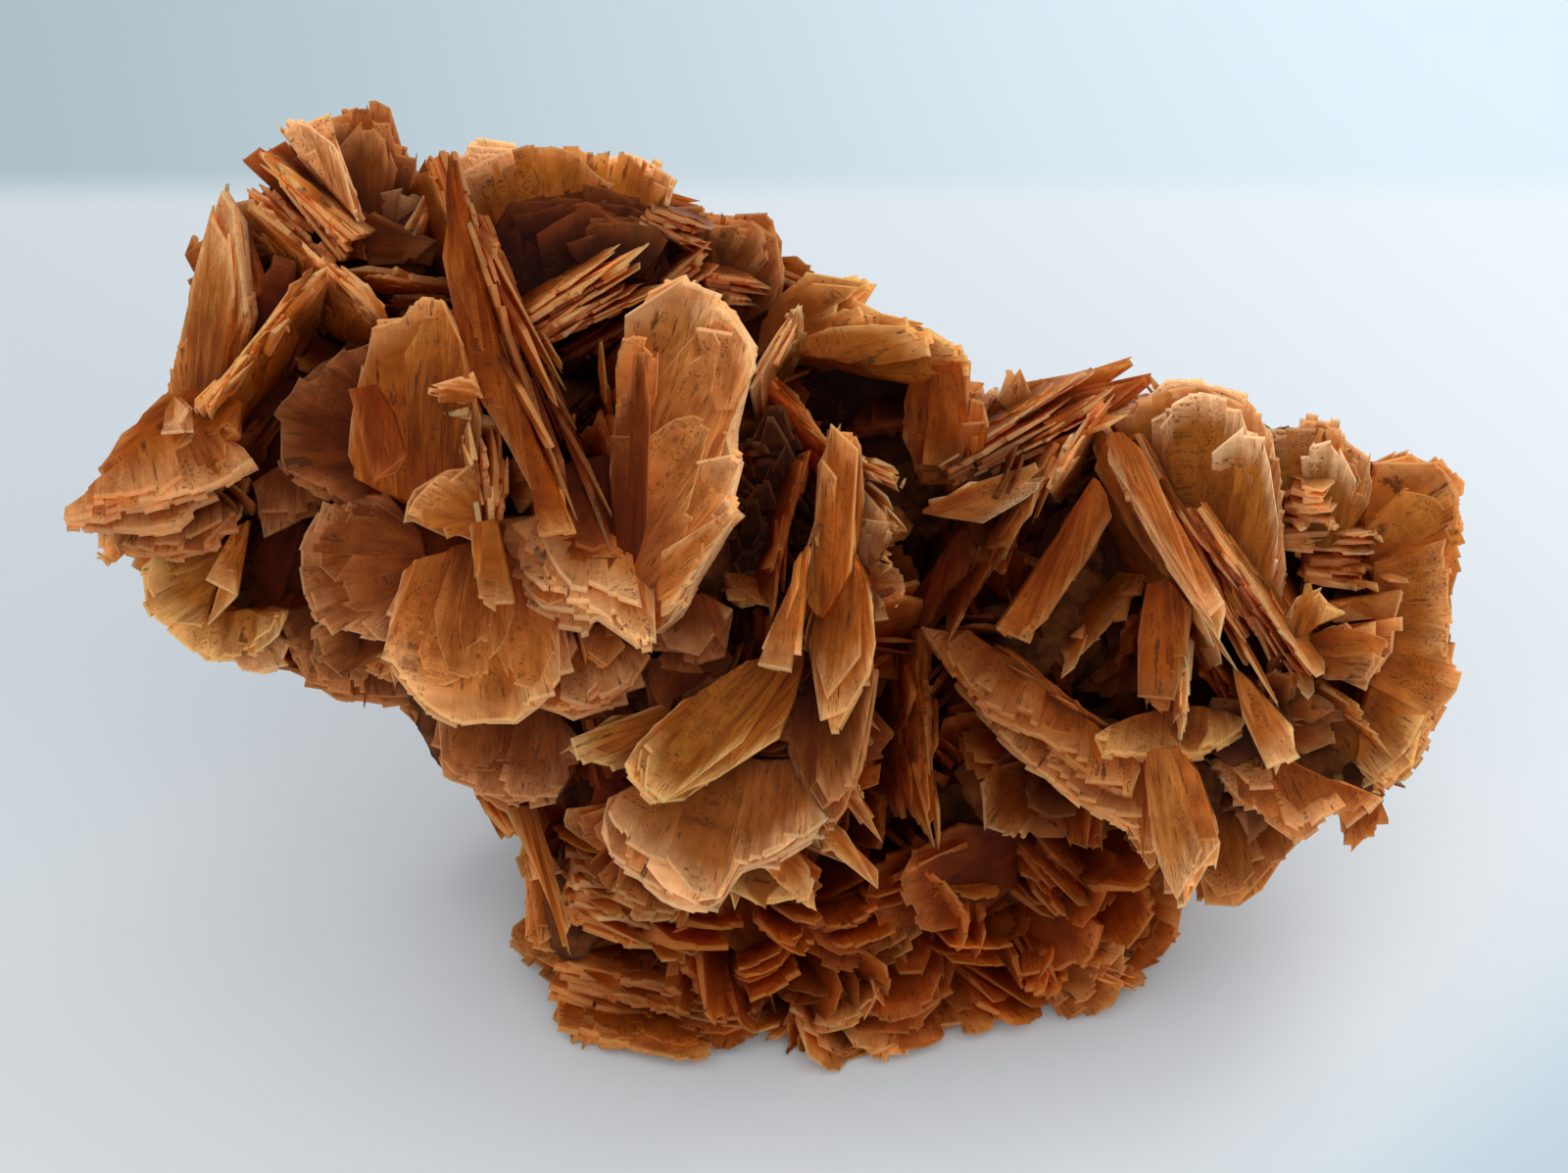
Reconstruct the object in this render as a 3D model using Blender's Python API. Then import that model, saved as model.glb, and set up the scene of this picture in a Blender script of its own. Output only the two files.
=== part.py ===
"""Barite specimen: rosettes of thin tabular crystals on a crusted base, all grown together into one solid.

The crystals are laid out on a display plane that leans back against the vertical, in millimetres:
across runs along +X, up runs up the plane, and out stands square off its face. The layout is drawn as
it looks from an eye point in front of the plane, so what lies deeper is spread a little wider.
The part itself is in metres, +Z up, standing on its flat underside at z = 0.
"""

import math
import random

import bmesh
import bpy
from mathutils import Matrix, Vector

MM = 0.001
LEAN = math.radians(45)  # the display plane's angle to the ground
EYE_DISTANCE = 420.0  # from the display plane's middle to the eye point
PLANE_HEIGHT = 42.4  # the display plane's middle above the ground
CENTRE_ACROSS = -0.43  # the display plane's middle from the middle of the finished part
CENTRE_BACK = -10.93

BLADE_LEAST = 0.8  # the thinnest single blade
LEAVES_MOST = 3  # a fanned book is never more than this many leaves
SEED = 11

# Broad blades that show a face: name, depth of the middle, tilt across and up (depth gained for
# each millimetre), thickness of the stack behind the face, and the outline as (across, up) corners.
BROAD_BLADES = (
    ("left_fin", -8, (0.7, -0.1), 1.6, (
        (-41.5, 30.2), (-40.8, 29), (-39.9, 27.5), (-39.4, 25), (-39.3, 20), (-40.2, 16.5), (-42.5, 13),
        (-44.9, 14.2), (-44.3, 17), (-43.6, 20.2), (-43.8, 21.3), (-42.8, 24), (-41.8, 25.2),
    )),
    ("top_fan_low", -9, (0.15, -0.3), 1.4, (
        (-30.5, 24), (-33, 24.8), (-36.4, 28), (-40.1, 31.8), (-38.9, 32), (-37.8, 33.1), (-36.4, 32.4),
        (-33.6, 29.6), (-31.2, 26.4),
    )),
    ("top_fan_pale", -8, (0.15, -0.2), 2.4, (
        (-31.1, 26.6), (-33.5, 29.5), (-36.9, 33.4), (-36.2, 35.1), (-35.2, 34.3), (-33.9, 34.5),
        (-32.8, 32.8), (-31.9, 30.2),
    )),
    ("top_steps", -12, (0, -0.2), 1.8, (
        (-34.6, 33.8), (-32.8, 35), (-29.1, 36.1), (-28.6, 34.6), (-28.3, 32.6), (-26.6, 32.1), (-26.9,
        29.6), (-28, 27.3), (-31, 26.5), (-33.5, 30),
    )),
    ("top_saddle", -9, (0, 0.25), 1.4, (
        (-24.5, 24.9), (-27.5, 26.1), (-30, 27.1), (-31.4, 26.2), (-31, 24.6), (-30.2, 23.4), (-24.6,
        23.6),
    )),
    ("under_fan", -9, (0.2, 0), 1, (
        (-34.3, 23.4), (-32.6, 22.3), (-33.3, 20.4), (-34.9, 17.4), (-36.3, 15), (-37.2, 16.5), (-35.8,
        19.8),
    )),
    ("wing_top", -4.5, (0.25, -0.45), 1.6, (
        (-39.5, 13.5), (-42, 14), (-45.2, 14), (-47.6, 12), (-49.6, 9.8), (-50.7, 8), (-50.1, 7), (-47,
        8.2), (-43.5, 9.8), (-40, 11.5),
    )),
    ("wing_mid", -3, (0.15, -0.35), 1.4, (
        (-38.6, 9.1), (-40, 11), (-44, 11.8), (-48, 9.3), (-52.4, 5.8), (-52.6, 4.5), (-49, 5.4), (-46,
        5.8), (-43.5, 6.4), (-40.3, 7.6),
    )),
    ("wing_brown", -6, (0.1, -0.2), 1.2, (
        (-39, 8), (-39.6, 5), (-41.4, 2.4), (-44, 1.9), (-47.3, 1.8), (-49.7, 3.4), (-47, 5), (-42, 7.5),
    )),
    ("amber_plate", -9, (0.3, 0.2), 1.4, (
        (-40.4, 3), (-43.5, 3.2), (-46.4, 2.3), (-47.5, 0.8), (-47.1, -1.3), (-46.2, -3), (-44.3, -3.1),
        (-42.6, -2.8),
    )),
    ("amber_low", -10, (0.2, 0.3), 1.2, (
        (-42.6, -1.8), (-45, -3.1), (-43.5, -4.4), (-42.8, -5.6), (-41.6, -6), (-39, -5.4), (-37, -4),
        (-36.4, -2),
    )),
    ("amber_tip", -12, (0.2, 0.3), 0.9, (
        (-40.3, -5), (-39.8, -6.2), (-38.4, -6.6), (-36, -6.1), (-36.2, -4), (-38.5, -3),
    )),
    ("under_wing", -11, (0.1, 0.35), 1.4, (
        (-36.8, -2), (-36.2, -5), (-35, -7.2), (-33.8, -8.6), (-31, -9.1), (-28, -9.1), (-25, -8.5),
        (-26, -4), (-31, -1),
    )),
    ("face_high", -5, (0.15, -0.1), 1.2, (
        (-29.5, 18), (-33.3, 17), (-35.6, 15), (-37.8, 12.8), (-36.3, 11.3), (-37.3, 9), (-36, 7.6),
        (-31, 5.6), (-28.5, 10),
    )),
    ("pink_plate", -2.8, (0.2, -0.05), 1.4, (
        (-33.8, 6), (-35, 4.2), (-35.7, 2.6), (-35.2, 1), (-35.6, -0.5), (-34.9, -1.8), (-34, -3.1),
        (-29, -4.1), (-26, -2), (-26.5, 4), (-29, 6.8),
    )),
    ("front_plate", 0, (0, -0.15), 1.5, (
        (-28.9, -1.5), (-29.3, -4.9), (-27.6, -7.4), (-25.9, -9.3), (-24, -10.2), (-21.6, -9.9), (-19.8,
        -10.1), (-17.5, -8.4), (-16.1, -6.7), (-14.9, -4.5), (-16.5, 0.5), (-22.5, 3.4), (-27, 2),
    )),
    ("front_low", -1.6, (0, -0.15), 1.1, (
        (-18.4, -8.4), (-15.9, -9.6), (-14.1, -9.6), (-13.3, -8.7), (-11.9, -8.9), (-10.6, -7.2), (-9.8,
        -5), (-12, -3), (-16.5, -4),
    )),
    ("left_small", 0.3, (0.1, 0), 0.9, (
        (-28.1, 5), (-26.9, 7.3), (-25.7, 8.1), (-22.6, 8.6), (-22.2, 3.2), (-25.4, 3.4), (-27.4, 4.2),
    )),
    ("stepped_stack", -1.5, (0.1, -0.1), 2.4, (
        (-30.5, 19.1), (-28, 19.6), (-27.8, 21), (-24.4, 21.1), (-23.4, 18), (-22, 12.5), (-24, 8),
        (-28, 6.8), (-31.6, 9.5), (-31.3, 14), (-30.7, 16.5),
    )),
    ("rose_right", 1.5, (0.35, -0.05), 2, (
        (-9.8, 24.9), (-8, 24.2), (-6.8, 21.9), (-4, 20.2), (-2.3, 17.6), (-2.4, 15.8), (-4.1, 10.3),
        (-3, 8.5), (-4, 6.8), (-3.3, 5.6), (-6.2, 1.3), (-7.4, -1.4), (-9.6, -3.4), (-11.4, 1), (-11.6,
        9), (-10.8, 18),
    )),
    ("rose_outer", 0, (0.1, -0.4), 1.2, (
        (-21.6, 4.8), (-20.4, 2.4), (-19.4, 0.4), (-18.6, -1.8), (-17, -1.9), (-15.8, -2.8), (-14.8,
        -3.4), (-13.2, -2.6), (-11.5, 2), (-16, 5.5),
    )),
    ("rose_inner", 1.2, (0.05, -0.4), 1.2, (
        (-19.8, 4.6), (-17.4, 0.6), (-15.4, -1.3), (-13.2, -2.3), (-11.4, -3.8), (-9, -4.9), (-8.4,
        -3.2), (-9.6, 2), (-15, 5.5),
    )),
    ("rose_bowl", -0.8, (0.05, -0.5), 1.1, (
        (-19.2, 7.4), (-17.2, 3.2), (-14, 0.9), (-11.2, 0.4), (-10.6, 5), (-11.5, 10), (-15.5, 9),
    )),
    ("rose_tail", -1.6, (0, -0.1), 1.2, (
        (-10, -3.6), (-8.4, -5), (-6.4, -5.6), (-4.4, -5.1), (-3.2, -3), (-3.8, -1.6), (-6, -0.4),
        (-9.4, -1),
    )),
    ("back_crown", -12, (0, -0.1), 1.8, (
        (-24.6, 31.2), (-24, 33), (-20, 32.7), (-15.2, 32.4), (-13.4, 31.7), (-11.2, 32.4), (-9, 31.2),
        (-8, 30.6), (-8.1, 28.6), (-9.5, 24), (-16, 20.5), (-22, 21), (-24, 27),
    )),
    ("back_brown", -12.5, (0, -0.1), 1.4, (
        (-8.6, 28.6), (-6, 27.6), (-4.8, 28), (-4, 27.4), (-1, 27.5), (0, 25), (0.1, 22.5), (-0.4,
        20.4), (-4, 18.5), (-9, 20),
    )),
    ("hollow_plate", -6, (0.2, 0), 1.4, (
        (-4.4, 10.4), (-2.2, 12.6), (0.6, 11.5), (0.9, 6), (0.4, 0), (-1.5, -2), (-6, -1.2), (-6.6, 1),
        (-4.6, 4),
    )),
    ("fan_top", -1, (0.25, -0.2), 1.2, (
        (2.5, 10.6), (3.3, 12.3), (4.1, 12.7), (5.3, 10.8), (5.7, 7.6), (5.2, 4), (4.4, 0), (2.6, -2.5),
        (1.6, 0), (2.4, 6),
    )),
    ("fan_right", 0, (0.25, -0.15), 1.1, (
        (4.8, 3.6), (6.3, -0.4), (6.6, -4.8), (6.2, -6.8), (4.9, -8.5), (4, -10.6), (3.1, -10.9), (2,
        -8.5), (1.8, -4), (3.4, 1),
    )),
    ("fan_lath", 1.4, (0.3, -0.1), 1.6, (
        (1.6, 3), (1.1, -0.5), (-0.3, -4.6), (-1.9, -7), (-1.9, -5.6), (-0.6, -2), (0.7, 1.6),
    )),
    ("fan_glass", -1.6, (0.2, -0.1), 0.8, (
        (4.8, 3), (6.2, 1.2), (7.7, 3.5), (7.6, 5.2), (6.4, 6), (5.4, 7.6), (4.6, 6),
    )),
    ("ridge_top", -11, (0.05, -0.35), 1.8, (
        (-0.9, 20.9), (1.6, 22.9), (3.8, 22.3), (5.2, 23), (7.2, 22.7), (4.6, 20.5), (10.6, 19.4),
        (13.9, 17), (13.4, 15.4), (9, 15.2), (3, 16.6), (-2, 16.8),
    )),
    ("ridge_side", -10, (0.3, 0.1), 1.2, (
        (9.2, 16), (13.3, 16.4), (13.2, 14), (14, 10), (12.4, 7.5), (9.4, 7.4), (8.6, 11),
    )),
    ("ridge_spine", -8.5, (0.5, 0), 0.8, (
        (13.9, 14.5), (14.4, 13), (14.3, 10), (13.3, 9.4), (13.1, 12.8),
    )),
    ("hollow_back", -17, (0, 0.2), 1.4, (
        (-1.5, 17), (9.8, 16.2), (10.8, 8), (6, 6.5), (2.5, 8), (-1, 11),
    )),
    ("long_top", -13.5, (0, -0.3), 1.2, (
        (13.4, 10.6), (15.4, 13.9), (18, 15.1), (22.3, 16.4), (26.9, 17.8), (25.4, 16), (22, 14), (17,
        11.4),
    )),
    ("long_top_low", -12, (0, -0.3), 1.2, (
        (14, 9.8), (18, 12.7), (22, 14.7), (25, 15.7), (27.6, 16), (26.6, 14.6), (22.5, 12), (17, 9.6),
    )),
    ("upper_knob", -12, (0, -0.2), 0.9, (
        (15.3, 15.4), (16.1, 15.9), (17.2, 16), (17.8, 15.1), (18.8, 12.4), (16.4, 11.8), (15.6, 13.6),
    )),
    ("pale_leaf", -7.5, (-0.1, 0.1), 0.9, (
        (9.8, 5.4), (12, 6.8), (15, 8.1), (19.6, 9.5), (18.6, 7), (16.2, 5), (14.4, 4.6), (12, 4.9),
    )),
    ("left_shade", -13, (0.25, 0.1), 1.4, (
        (15.6, 7), (12.4, 3.6), (10.2, 0.4), (8.2, -2.4), (7.1, -3.7), (7.6, -6.8), (8.8, -6.8), (12,
        -1), (17, 3),
    )),
    ("diag_front", -8, (-0.15, 0.1), 1.2, (
        (23.9, 5.2), (23, 2.8), (21.7, 1), (20.2, -1.2), (18.1, -3.7), (16.3, -4), (15.6, -3), (18, 0),
        (21.2, 5.6), (22.8, 8),
    )),
    ("long_face", -8.5, (0.5, 0.15), 1.2, (
        (22.6, 11.5), (25, 9), (28.2, 3.6), (30.4, -0.4), (32.6, -4.6), (29.6, -1.6), (26.6, 1.6), (24,
        5.4), (22.6, 8.6),
    )),
    ("pale_back", -11.5, (0, -0.1), 1.8, (
        (23.4, 12.4), (27.2, 14.5), (28.2, 15.4), (30.2, 15.5), (34.1, 14.2), (35.2, 12.4), (36.4, 9.2),
        (36.7, 0), (36, -2.4), (33, -1), (29.4, 3.4), (26.4, 9),
    )),
    ("right_back", -14, (0, -0.1), 1.6, (
        (35, 11.4), (37, 12.1), (38, 12.9), (39.6, 13), (41.4, 11), (43.3, 9.7), (42.6, 6), (40.4, 3),
        (35.6, 3),
    )),
    ("right_edge", -15, (-0.25, 0), 1.8, (
        (43.4, 9), (46, 10.4), (48.4, 9.3), (50.2, 7.8), (49.8, 5), (50.2, 4.4), (48.9, 0), (49.2,
        -5.6), (49.8, -6.6), (48.2, -10), (47.4, -12.2), (44, -15.4), (41.4, -13), (42.6, -6), (42.8,
        2), (42, 6),
    )),
    ("right_leaf_b", -11.5, (0, 0.15), 1.4, (
        (36.6, -4.8), (40, -3), (43, -2.6), (45.2, -2.4), (44.4, -5), (42.4, -7.7), (40.8, -7), (38, -6),
    )),
    ("right_leaf_c", -12.5, (0, 0.1), 1.6, (
        (33.4, -6.6), (37, -7.6), (40.8, -7.9), (42.2, -10), (38, -10.4), (35, -10.6), (33.4, -9),
    )),
    ("long_low", -8.5, (0, -0.25), 1.6, (
        (10.1, -2.9), (13.6, -3.3), (18, -6.5), (22.4, -9.8), (26, -13), (26, -15.3), (23, -14.4),
        (18.6, -11), (14.6, -9.4), (12, -6.2),
    )),
    ("long_low_rim", -9.5, (0, -0.25), 1.4, (
        (14.2, -8.8), (16.5, -11.7), (20, -14.6), (23, -16.6), (25.6, -17.9), (27.6, -17), (26.6, -14),
        (21, -11), (17, -7.6),
    )),
    ("pale_step", -7.5, (0, -0.3), 1.4, (
        (22.6, -12.3), (22.7, -10.8), (26, -9.2), (30, -8.7), (34.2, -8.9), (33.4, -10.8), (30.4,
        -12.5), (26, -12.4),
    )),
    ("down_face", -7, (0.3, 0.05), 1.1, (
        (26.4, 0.2), (28, 0.5), (29.6, -1.5), (29.2, -6), (28, -9.6), (27.4, -10), (25.9, -8.8), (25.7,
        -5), (26.2, -2),
    )),
    ("down_pale", -7.5, (0, 0.1), 1.8, (
        (24, -12), (27, -11.4), (30.2, -13.6), (31.7, -18.7), (31.5, -20.7), (30, -20.8), (29.9, -23.2),
        (28.3, -23.8), (26.2, -20.8), (24.6, -17.6), (23, -15),
    )),
    ("bright_lath", -6, (0.2, -0.1), 1, (
        (32.6, -5.6), (34.4, -7.2), (36.2, -9.2), (37.6, -12), (36.3, -14.3), (34.4, -12.4), (33.4,
        -9.4),
    )),
    ("low_right", -10, (0, -0.1), 1.4, (
        (31.2, -12.6), (34, -11.2), (38.5, -13.6), (43.6, -15.4), (40, -16.8), (38.3, -18.9), (36.4,
        -18.4), (34.6, -16.6), (32.6, -15.6),
    )),
    ("right_translucent", -14, (0, 0.1), 1.2, (
        (37, -10.6), (42, -9.4), (46.6, -9.4), (47.6, -11), (46, -13.4), (43.8, -15.6), (40, -14.6),
        (37.4, -13),
    )),
    ("right_spike", -17, (0, 0.1), 1.1, (
        (40.4, -15.4), (40.6, -17.6), (41.1, -19.9), (42.2, -18.8), (44.1, -17), (43.7, -14.8),
    )),
    ("right_under", -17.5, (0, 0.1), 1.4, (
        (31, -16), (35.6, -16.8), (37.6, -18.4), (35.6, -20.6), (35, -22.2), (32.2, -24), (30.4, -23.4),
        (29.8, -20),
    )),
    ("gold_plate", 0.5, (-0.05, -0.2), 1.3, (
        (1.5, -4.8), (1, -7.5), (-0.3, -10.9), (-2.3, -12), (-5.5, -14.6), (-9.4, -16.5), (-11, -15),
        (-11.9, -12.8), (-8, -9), (-3, -5.6),
    )),
    ("gold_left", -2, (0, 0), 1, (
        (-16.5, -12.6), (-15.8, -10.8), (-9, -8.6), (-7, -10), (-9.4, -13), (-13, -13.8),
    )),
    ("low_wing", -2, (0.1, -0.1), 1.2, (
        (6.8, -6), (6, -12), (5, -15.4), (3.2, -18), (0.8, -14), (-0.5, -10), (3, -6),
    )),
    ("low_plate", -2.4, (0, -0.15), 1.5, (
        (-12.8, -15.4), (-13.4, -17.7), (-12.5, -20), (-10.4, -21.6), (-8, -23.3), (-5.9, -24), (-4.6,
        -23.4), (-3.6, -20.9), (-0.1, -20), (1.6, -18.8), (3.3, -18), (3.8, -15.4), (1, -12.5), (-7,
        -12.8),
    )),
    ("spike_long", -3.2, (0, 0), 0.9, (
        (-2.4, -19.6), (-0.8, -21.2), (0.8, -22.9), (3, -24.1), (2.2, -21.4), (0.4, -18.8),
    )),
    ("spike_right", -3.2, (0, 0), 0.9, (
        (1.6, -17.4), (4.6, -20.4), (7, -22.4), (7.3, -21.7), (5.2, -19), (2.6, -16),
    )),
    ("dirty_plate", -7.5, (0, 0.2), 1.4, (
        (-25, -8.6), (-25.6, -12), (-24.8, -14.5), (-22.2, -15.4), (-20.4, -17), (-16.6, -16), (-14,
        -12), (-17, -8.6),
    )),
    ("neck_plate", -14, (0.1, 0.1), 1.2, (
        (-21, -15.6), (-18.6, -19.8), (-17.4, -26), (-15.8, -28.6), (-14.2, -24), (-14.6, -18), (-13,
        -14.4),
    )),
    ("neck_back", -18, (0.1, 0.1), 1.2, (
        (-18.8, -20), (-19.4, -23.5), (-18.6, -26.9), (-16.6, -27.2), (-15, -23), (-16, -19.6),
    )),
)

# Books of blades seen on their rims: name, the rim's root and tip as (across, up, out), which way the
# faces look, breadth backwards from the rim, thickness at the root, and how much more it fans at the tip.
BOOKS = (
    ("top_lath", (-29.2, 19.8, -5), (-40, 30, -8), (-0.5, -0.55, 0.4), 7, 1.2, 0.8),
    ("top_to_wing", (-42.9, 13.1, -2), (-34, 23.8, -5), (0.65, -0.6, 0.35), 7, 1.4, 3),
    ("high_lath", (-23.4, 22.3, -6), (-30.9, 23, -6), (0.05, -0.9, 0.3), 5, 0.9, 0.4),
    ("wing_spike", (-47, 6.4, -6), (-51.5, 1.5, -5), (0.5, -0.5, 0.6), 2.2, 0.8, 0.2),
    ("long_book", (-25, 32, -6), (-15.2, 5, 2.5), (-0.85, -0.35, 0.35), 13, 2.6, 2.2),
    ("long_book_back", (-22.4, 28, -8), (-13.3, 6.6, -1), (-0.85, -0.35, 0.2), 10, 1.2, 0.8),
    ("cross_book", (-18.8, 18.8, -3), (-8.2, 25, -4), (-0.45, 0.8, 0.45), 9, 2, 2.4),
    ("left_laths", (-21.6, 4.4, 1), (-22.8, 12, 0), (-0.9, 0, 0.35), 4, 1.4, 0.6),
    ("glint_pair", (-2.7, 14.4, -3), (1, 21.2, -5), (0.85, -0.45, 0.3), 6, 0.9, 0.4),
    ("glass_step_high", (-10, 27.4, -8.5), (-6.6, 24.6, -8), (0.5, 0.65, 0.55), 6, 1.4, 0.3),
    ("cross_edge", (-1.8, 16.2, -7), (5, 8.5, -3), (-0.55, -0.6, 0.45), 6, 1.2, 1),
    ("fan_book", (3.4, 6.5, -1), (0, -5.6, 1), (0.9, -0.3, 0.3), 7, 1.2, 1),
    ("fan_book_left", (1.8, 10, -3), (-0.9, -1.6, 0), (-0.9, 0.2, 0.35), 7, 0.9, 0.9),
    ("shard_high", (4, 10.3, -3), (9.6, 7.4, -2), (-0.3, -0.8, 0.3), 2.4, 0.9, 0.2),
    ("hollow_lip", (13, 11.4, -12), (4.8, 11, -11), (0, 0.8, 0.5), 5, 1.2, 0.8),
    ("bridge_book", (11.6, 7.6, -9), (23.8, 14.3, -9), (-0.35, 0.8, 0.45), 9, 2, 2.6),
    ("diag_edge", (20.7, 10.6, -9), (15.5, 1.6, -7.5), (-0.75, 0.45, 0.4), 7, 1.3, 1),
    ("hollow_lath", (26.9, 0.5, -13), (20.9, -6.2, -9), (-0.6, 0.6, 0.5), 4, 1, 0.4),
    ("long_right", (22.9, 12.8, -11), (32.9, -4.9, -4), (-0.8, -0.45, 0.35), 12, 1.4, 0.6),
    ("long_right_mid", (25.3, 11.2, -10), (34.4, -6.3, -5), (0.85, 0.45, 0.25), 9, 1, 0.5),
    ("long_right_low", (29.4, 5.8, -9), (38.4, -8.1, -7), (0.8, 0.5, 0.35), 9, 1.6, 1.4),
    ("fan_level_c", (35.8, 4.9, -12.5), (40.5, 4, -11.5), (0, 0.85, 0.45), 4, 0.8, 0.2),
    ("fan_level_d", (36, 3, -12), (45.4, 2.8, -13), (0, 0.85, 0.45), 7, 1.2, 0.8),
    ("fan_level_e", (37, 1.6, -12.5), (45, 1.2, -13.5), (0, 0.85, 0.45), 7, 0.9, 0.4),
    ("down_edge", (29.7, -2.8, -7), (29.3, -12.5, -5.5), (-0.9, 0, 0.35), 5, 1, 0.6),
    ("low_glints", (15.4, -4, -9), (23.7, -10.4, -7.5), (-0.5, -0.7, 0.35), 6, 1.4, 1.2),
    ("cleft_laths", (10.6, -3, -12), (10.9, -18.3, -11), (-0.85, 0, 0.45), 5, 1.6, 0.8),
    ("neck_shelf", (-17, -21.6, -18), (-4, -24.9, -14), (0, 0.6, 0.7), 6, 1.2, 0.8),
    ("gap_shelf", (12.6, -13.6, -19), (20.4, -18.2, -17), (0.3, 0.6, 0.6), 6, 1.2, 0.8),
    ("gap_laths", (14.6, -17, -20), (20.8, -24.6, -18), (0.6, 0.5, 0.5), 6, 1.4, 1),
    ("base_book", (-17.9, -29.6, -28), (-4.4, -32.4, -24), (-0.1, 0.75, 0.5), 10, 4, 1.4),
    ("base_long", (16.6, -29, -31), (3.2, -35.4, -25.4), (-0.35, 0.75, 0.5), 6, 1.4, 0.8),
    ("base_mid", (7, -29, -29), (-2.4, -33.6, -26), (-0.4, 0.7, 0.5), 6, 1.4, 0.6),
)

# The shape of a book's leaf, from its root (0) to its tip (1) and from its front rim (0) backwards (1).
LEAF = ((0, 0), (0.9, 0), (1, 0.12), (0.6, 1), (0, 0.75))

# Where crystals radiate from behind the laid-out ones: the middle as (across, up, out), how far the
# blades reach across, up, out in front and out behind, and how many there are.
HEARTS = (
    ((-17, 11, -18), (18, 18, 7, 18), 14),
    ((-37, 7, -17), (12, 9, 7, 13), 7),
    ((-30, 24, -18), (9, 9, 6, 12), 6),
    ((-6, -8, -16), (10, 10, 5, 14), 6),
    ((8, 7, -23), (11, 11, 4, 13), 7),
    ((28, -2, -24), (17, 15, 8, 15), 13),
    ((41, -3, -22), (8, 12, 6, 12), 6),
)
HEART_START = 0.3  # a radiating blade starts at this share of its reach

# The solid mass that the crystals are rooted in, as lumps: the middle as (across, up, out) and the
# radii across, up and out. The last lump is the base.
CORE = (
    ((-20, 9, -16), (11, 11, 9)),
    ((-24, 0, -9), (9, 7, 6.5)),
    ((-28, 12, -12), (6, 7, 8)),
    ((-7, 4, -9), (4.5, 12, 8)),
    ((-15, 1, -6), (5, 4, 5)),
    ((-13, -6, -8), (5, 4, 6.5)),
    ((-4, -9, -8), (8, 6, 6.5)),
    ((-5, -16, -9), (7, 5, 6)),
    ((-6, -6, -16), (7, 6, 7)),
    ((-33, 27, -15), (5, 6, 5)),
    ((-28, 23, -15), (5, 4, 6)),
    ((-31, 21, -19), (6, 5, 5)),
    ((-41.5, 19, -13), (2.5, 7, 4)),
    ((-43, 7, -11), (6, 3.5, 6)),
    ((-42, -1, -14.5), (4.5, 3.5, 4.5)),
    ((-35, 5, -17), (7, 6, 6)),
    ((-31, -5, -17), (6, 3.5, 5)),
    ((-22, -9, -13), (6, 6.5, 6.5)),
    ((-15, 27, -18), (8, 4.5, 5)),
    ((-4, 23, -18), (4, 4, 5)),
    ((3.5, -1, -9), (2.5, 9, 7)),
    ((8, 8, -22), (10, 7, 6)),
    ((7, 18, -16), (6, 2.5, 4)),
    ((15, 6.5, -13), (3, 2.5, 5)),
    ((18, 9, -17), (6, 4.5, 5)),
    ((31, 8, -18), (6, 6.5, 6)),
    ((39, 7, -18), (5, 5, 4)),
    ((46, -3, -19), (3, 9, 4)),
    ((27, -3, -24), (12, 11, 8)),
    ((40, -3, -21), (6, 6, 7)),
    ((18, -4, -17), (7, 5, 7)),
    ((21, 1, -14), (4, 4, 6)),
    ((22, -12, -16), (6, 4, 6)),
    ((30, -13, -14), (5, 5, 6)),
    ((35, -10, -12), (2.5, 4, 6)),
    ((38, -13, -17), (6, 3.5, 5)),
    ((33, -19, -21), (3.5, 4, 4)),
    ((-15.5, -22, -18), (3.5, 7, 4.5)),
    ((-4, -18, -26), (11, 11, 9)),
    ((15, -16, -28), (11, 11, 9)),
)
LUMP_RADIUS = 1.15  # a lump's corners reach past its radii, so that its flat faces come to about them
BASE_MASS = ((5, 13, 0), (20, 16, 21))  # the base's middle and radii in the part's own axes

# The crust of small blades round the base: rings of blades, as the height of each ring and its number.
BASE_MIDDLE = (5, 13)
BASE_REACH = (24, 20)
BASE_RINGS = ((1.5, 12), (7, 9), (13, 5))
BASE_BLADE = (9, 9, 1.6)  # length, breadth and thickness


def placed(across, up, out):
    """The point of the part, in metres, for a place in the layout."""
    wider = 1 - out / EYE_DISTANCE
    back = math.cos(LEAN) * up * wider - math.sin(LEAN) * out
    height = math.sin(LEAN) * up * wider + math.cos(LEAN) * out + PLANE_HEIGHT
    return Vector((across * wider - CENTRE_ACROSS, back + CENTRE_BACK, height)) * MM


def in_part_axes(point):
    """A point given in the part's own axes before centring, in metres."""
    return Vector((point[0] - CENTRE_ACROSS, point[1] + CENTRE_BACK, point[2])) * MM


def direction(across, up, out):
    """A layout direction as a unit vector of the part."""
    back = math.cos(LEAN) * up - math.sin(LEAN) * out
    height = math.sin(LEAN) * up + math.cos(LEAN) * out
    return Vector((across, back, height)).normalized()


def add_slab(bm, corners, thickness):
    """A flat blade with these corners on its face and its thickness behind it."""
    face = bm.faces.new([bm.verts.new(corner) for corner in corners])
    face.normal_update()
    behind = -face.normal * thickness
    grown = bmesh.ops.extrude_face_region(bm, geom=[face])["geom"]
    bmesh.ops.translate(bm, verts=[v for v in grown if isinstance(v, bmesh.types.BMVert)], vec=behind)


def add_broad_blade(bm, depth, tilt, thickness, outline):
    """A blade seen on its face, whose outline is drawn in the layout."""
    middle = [sum(values) / len(outline) for values in zip(*outline)]
    corners = []
    for across, up in outline:
        out = depth + tilt[0] * (across - middle[0]) + tilt[1] * (up - middle[1])
        corners.append(placed(across, up, out))
    if anticlockwise(outline) < 0:
        corners.reverse()
    add_slab(bm, corners, max(thickness, BLADE_LEAST) * MM)


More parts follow.
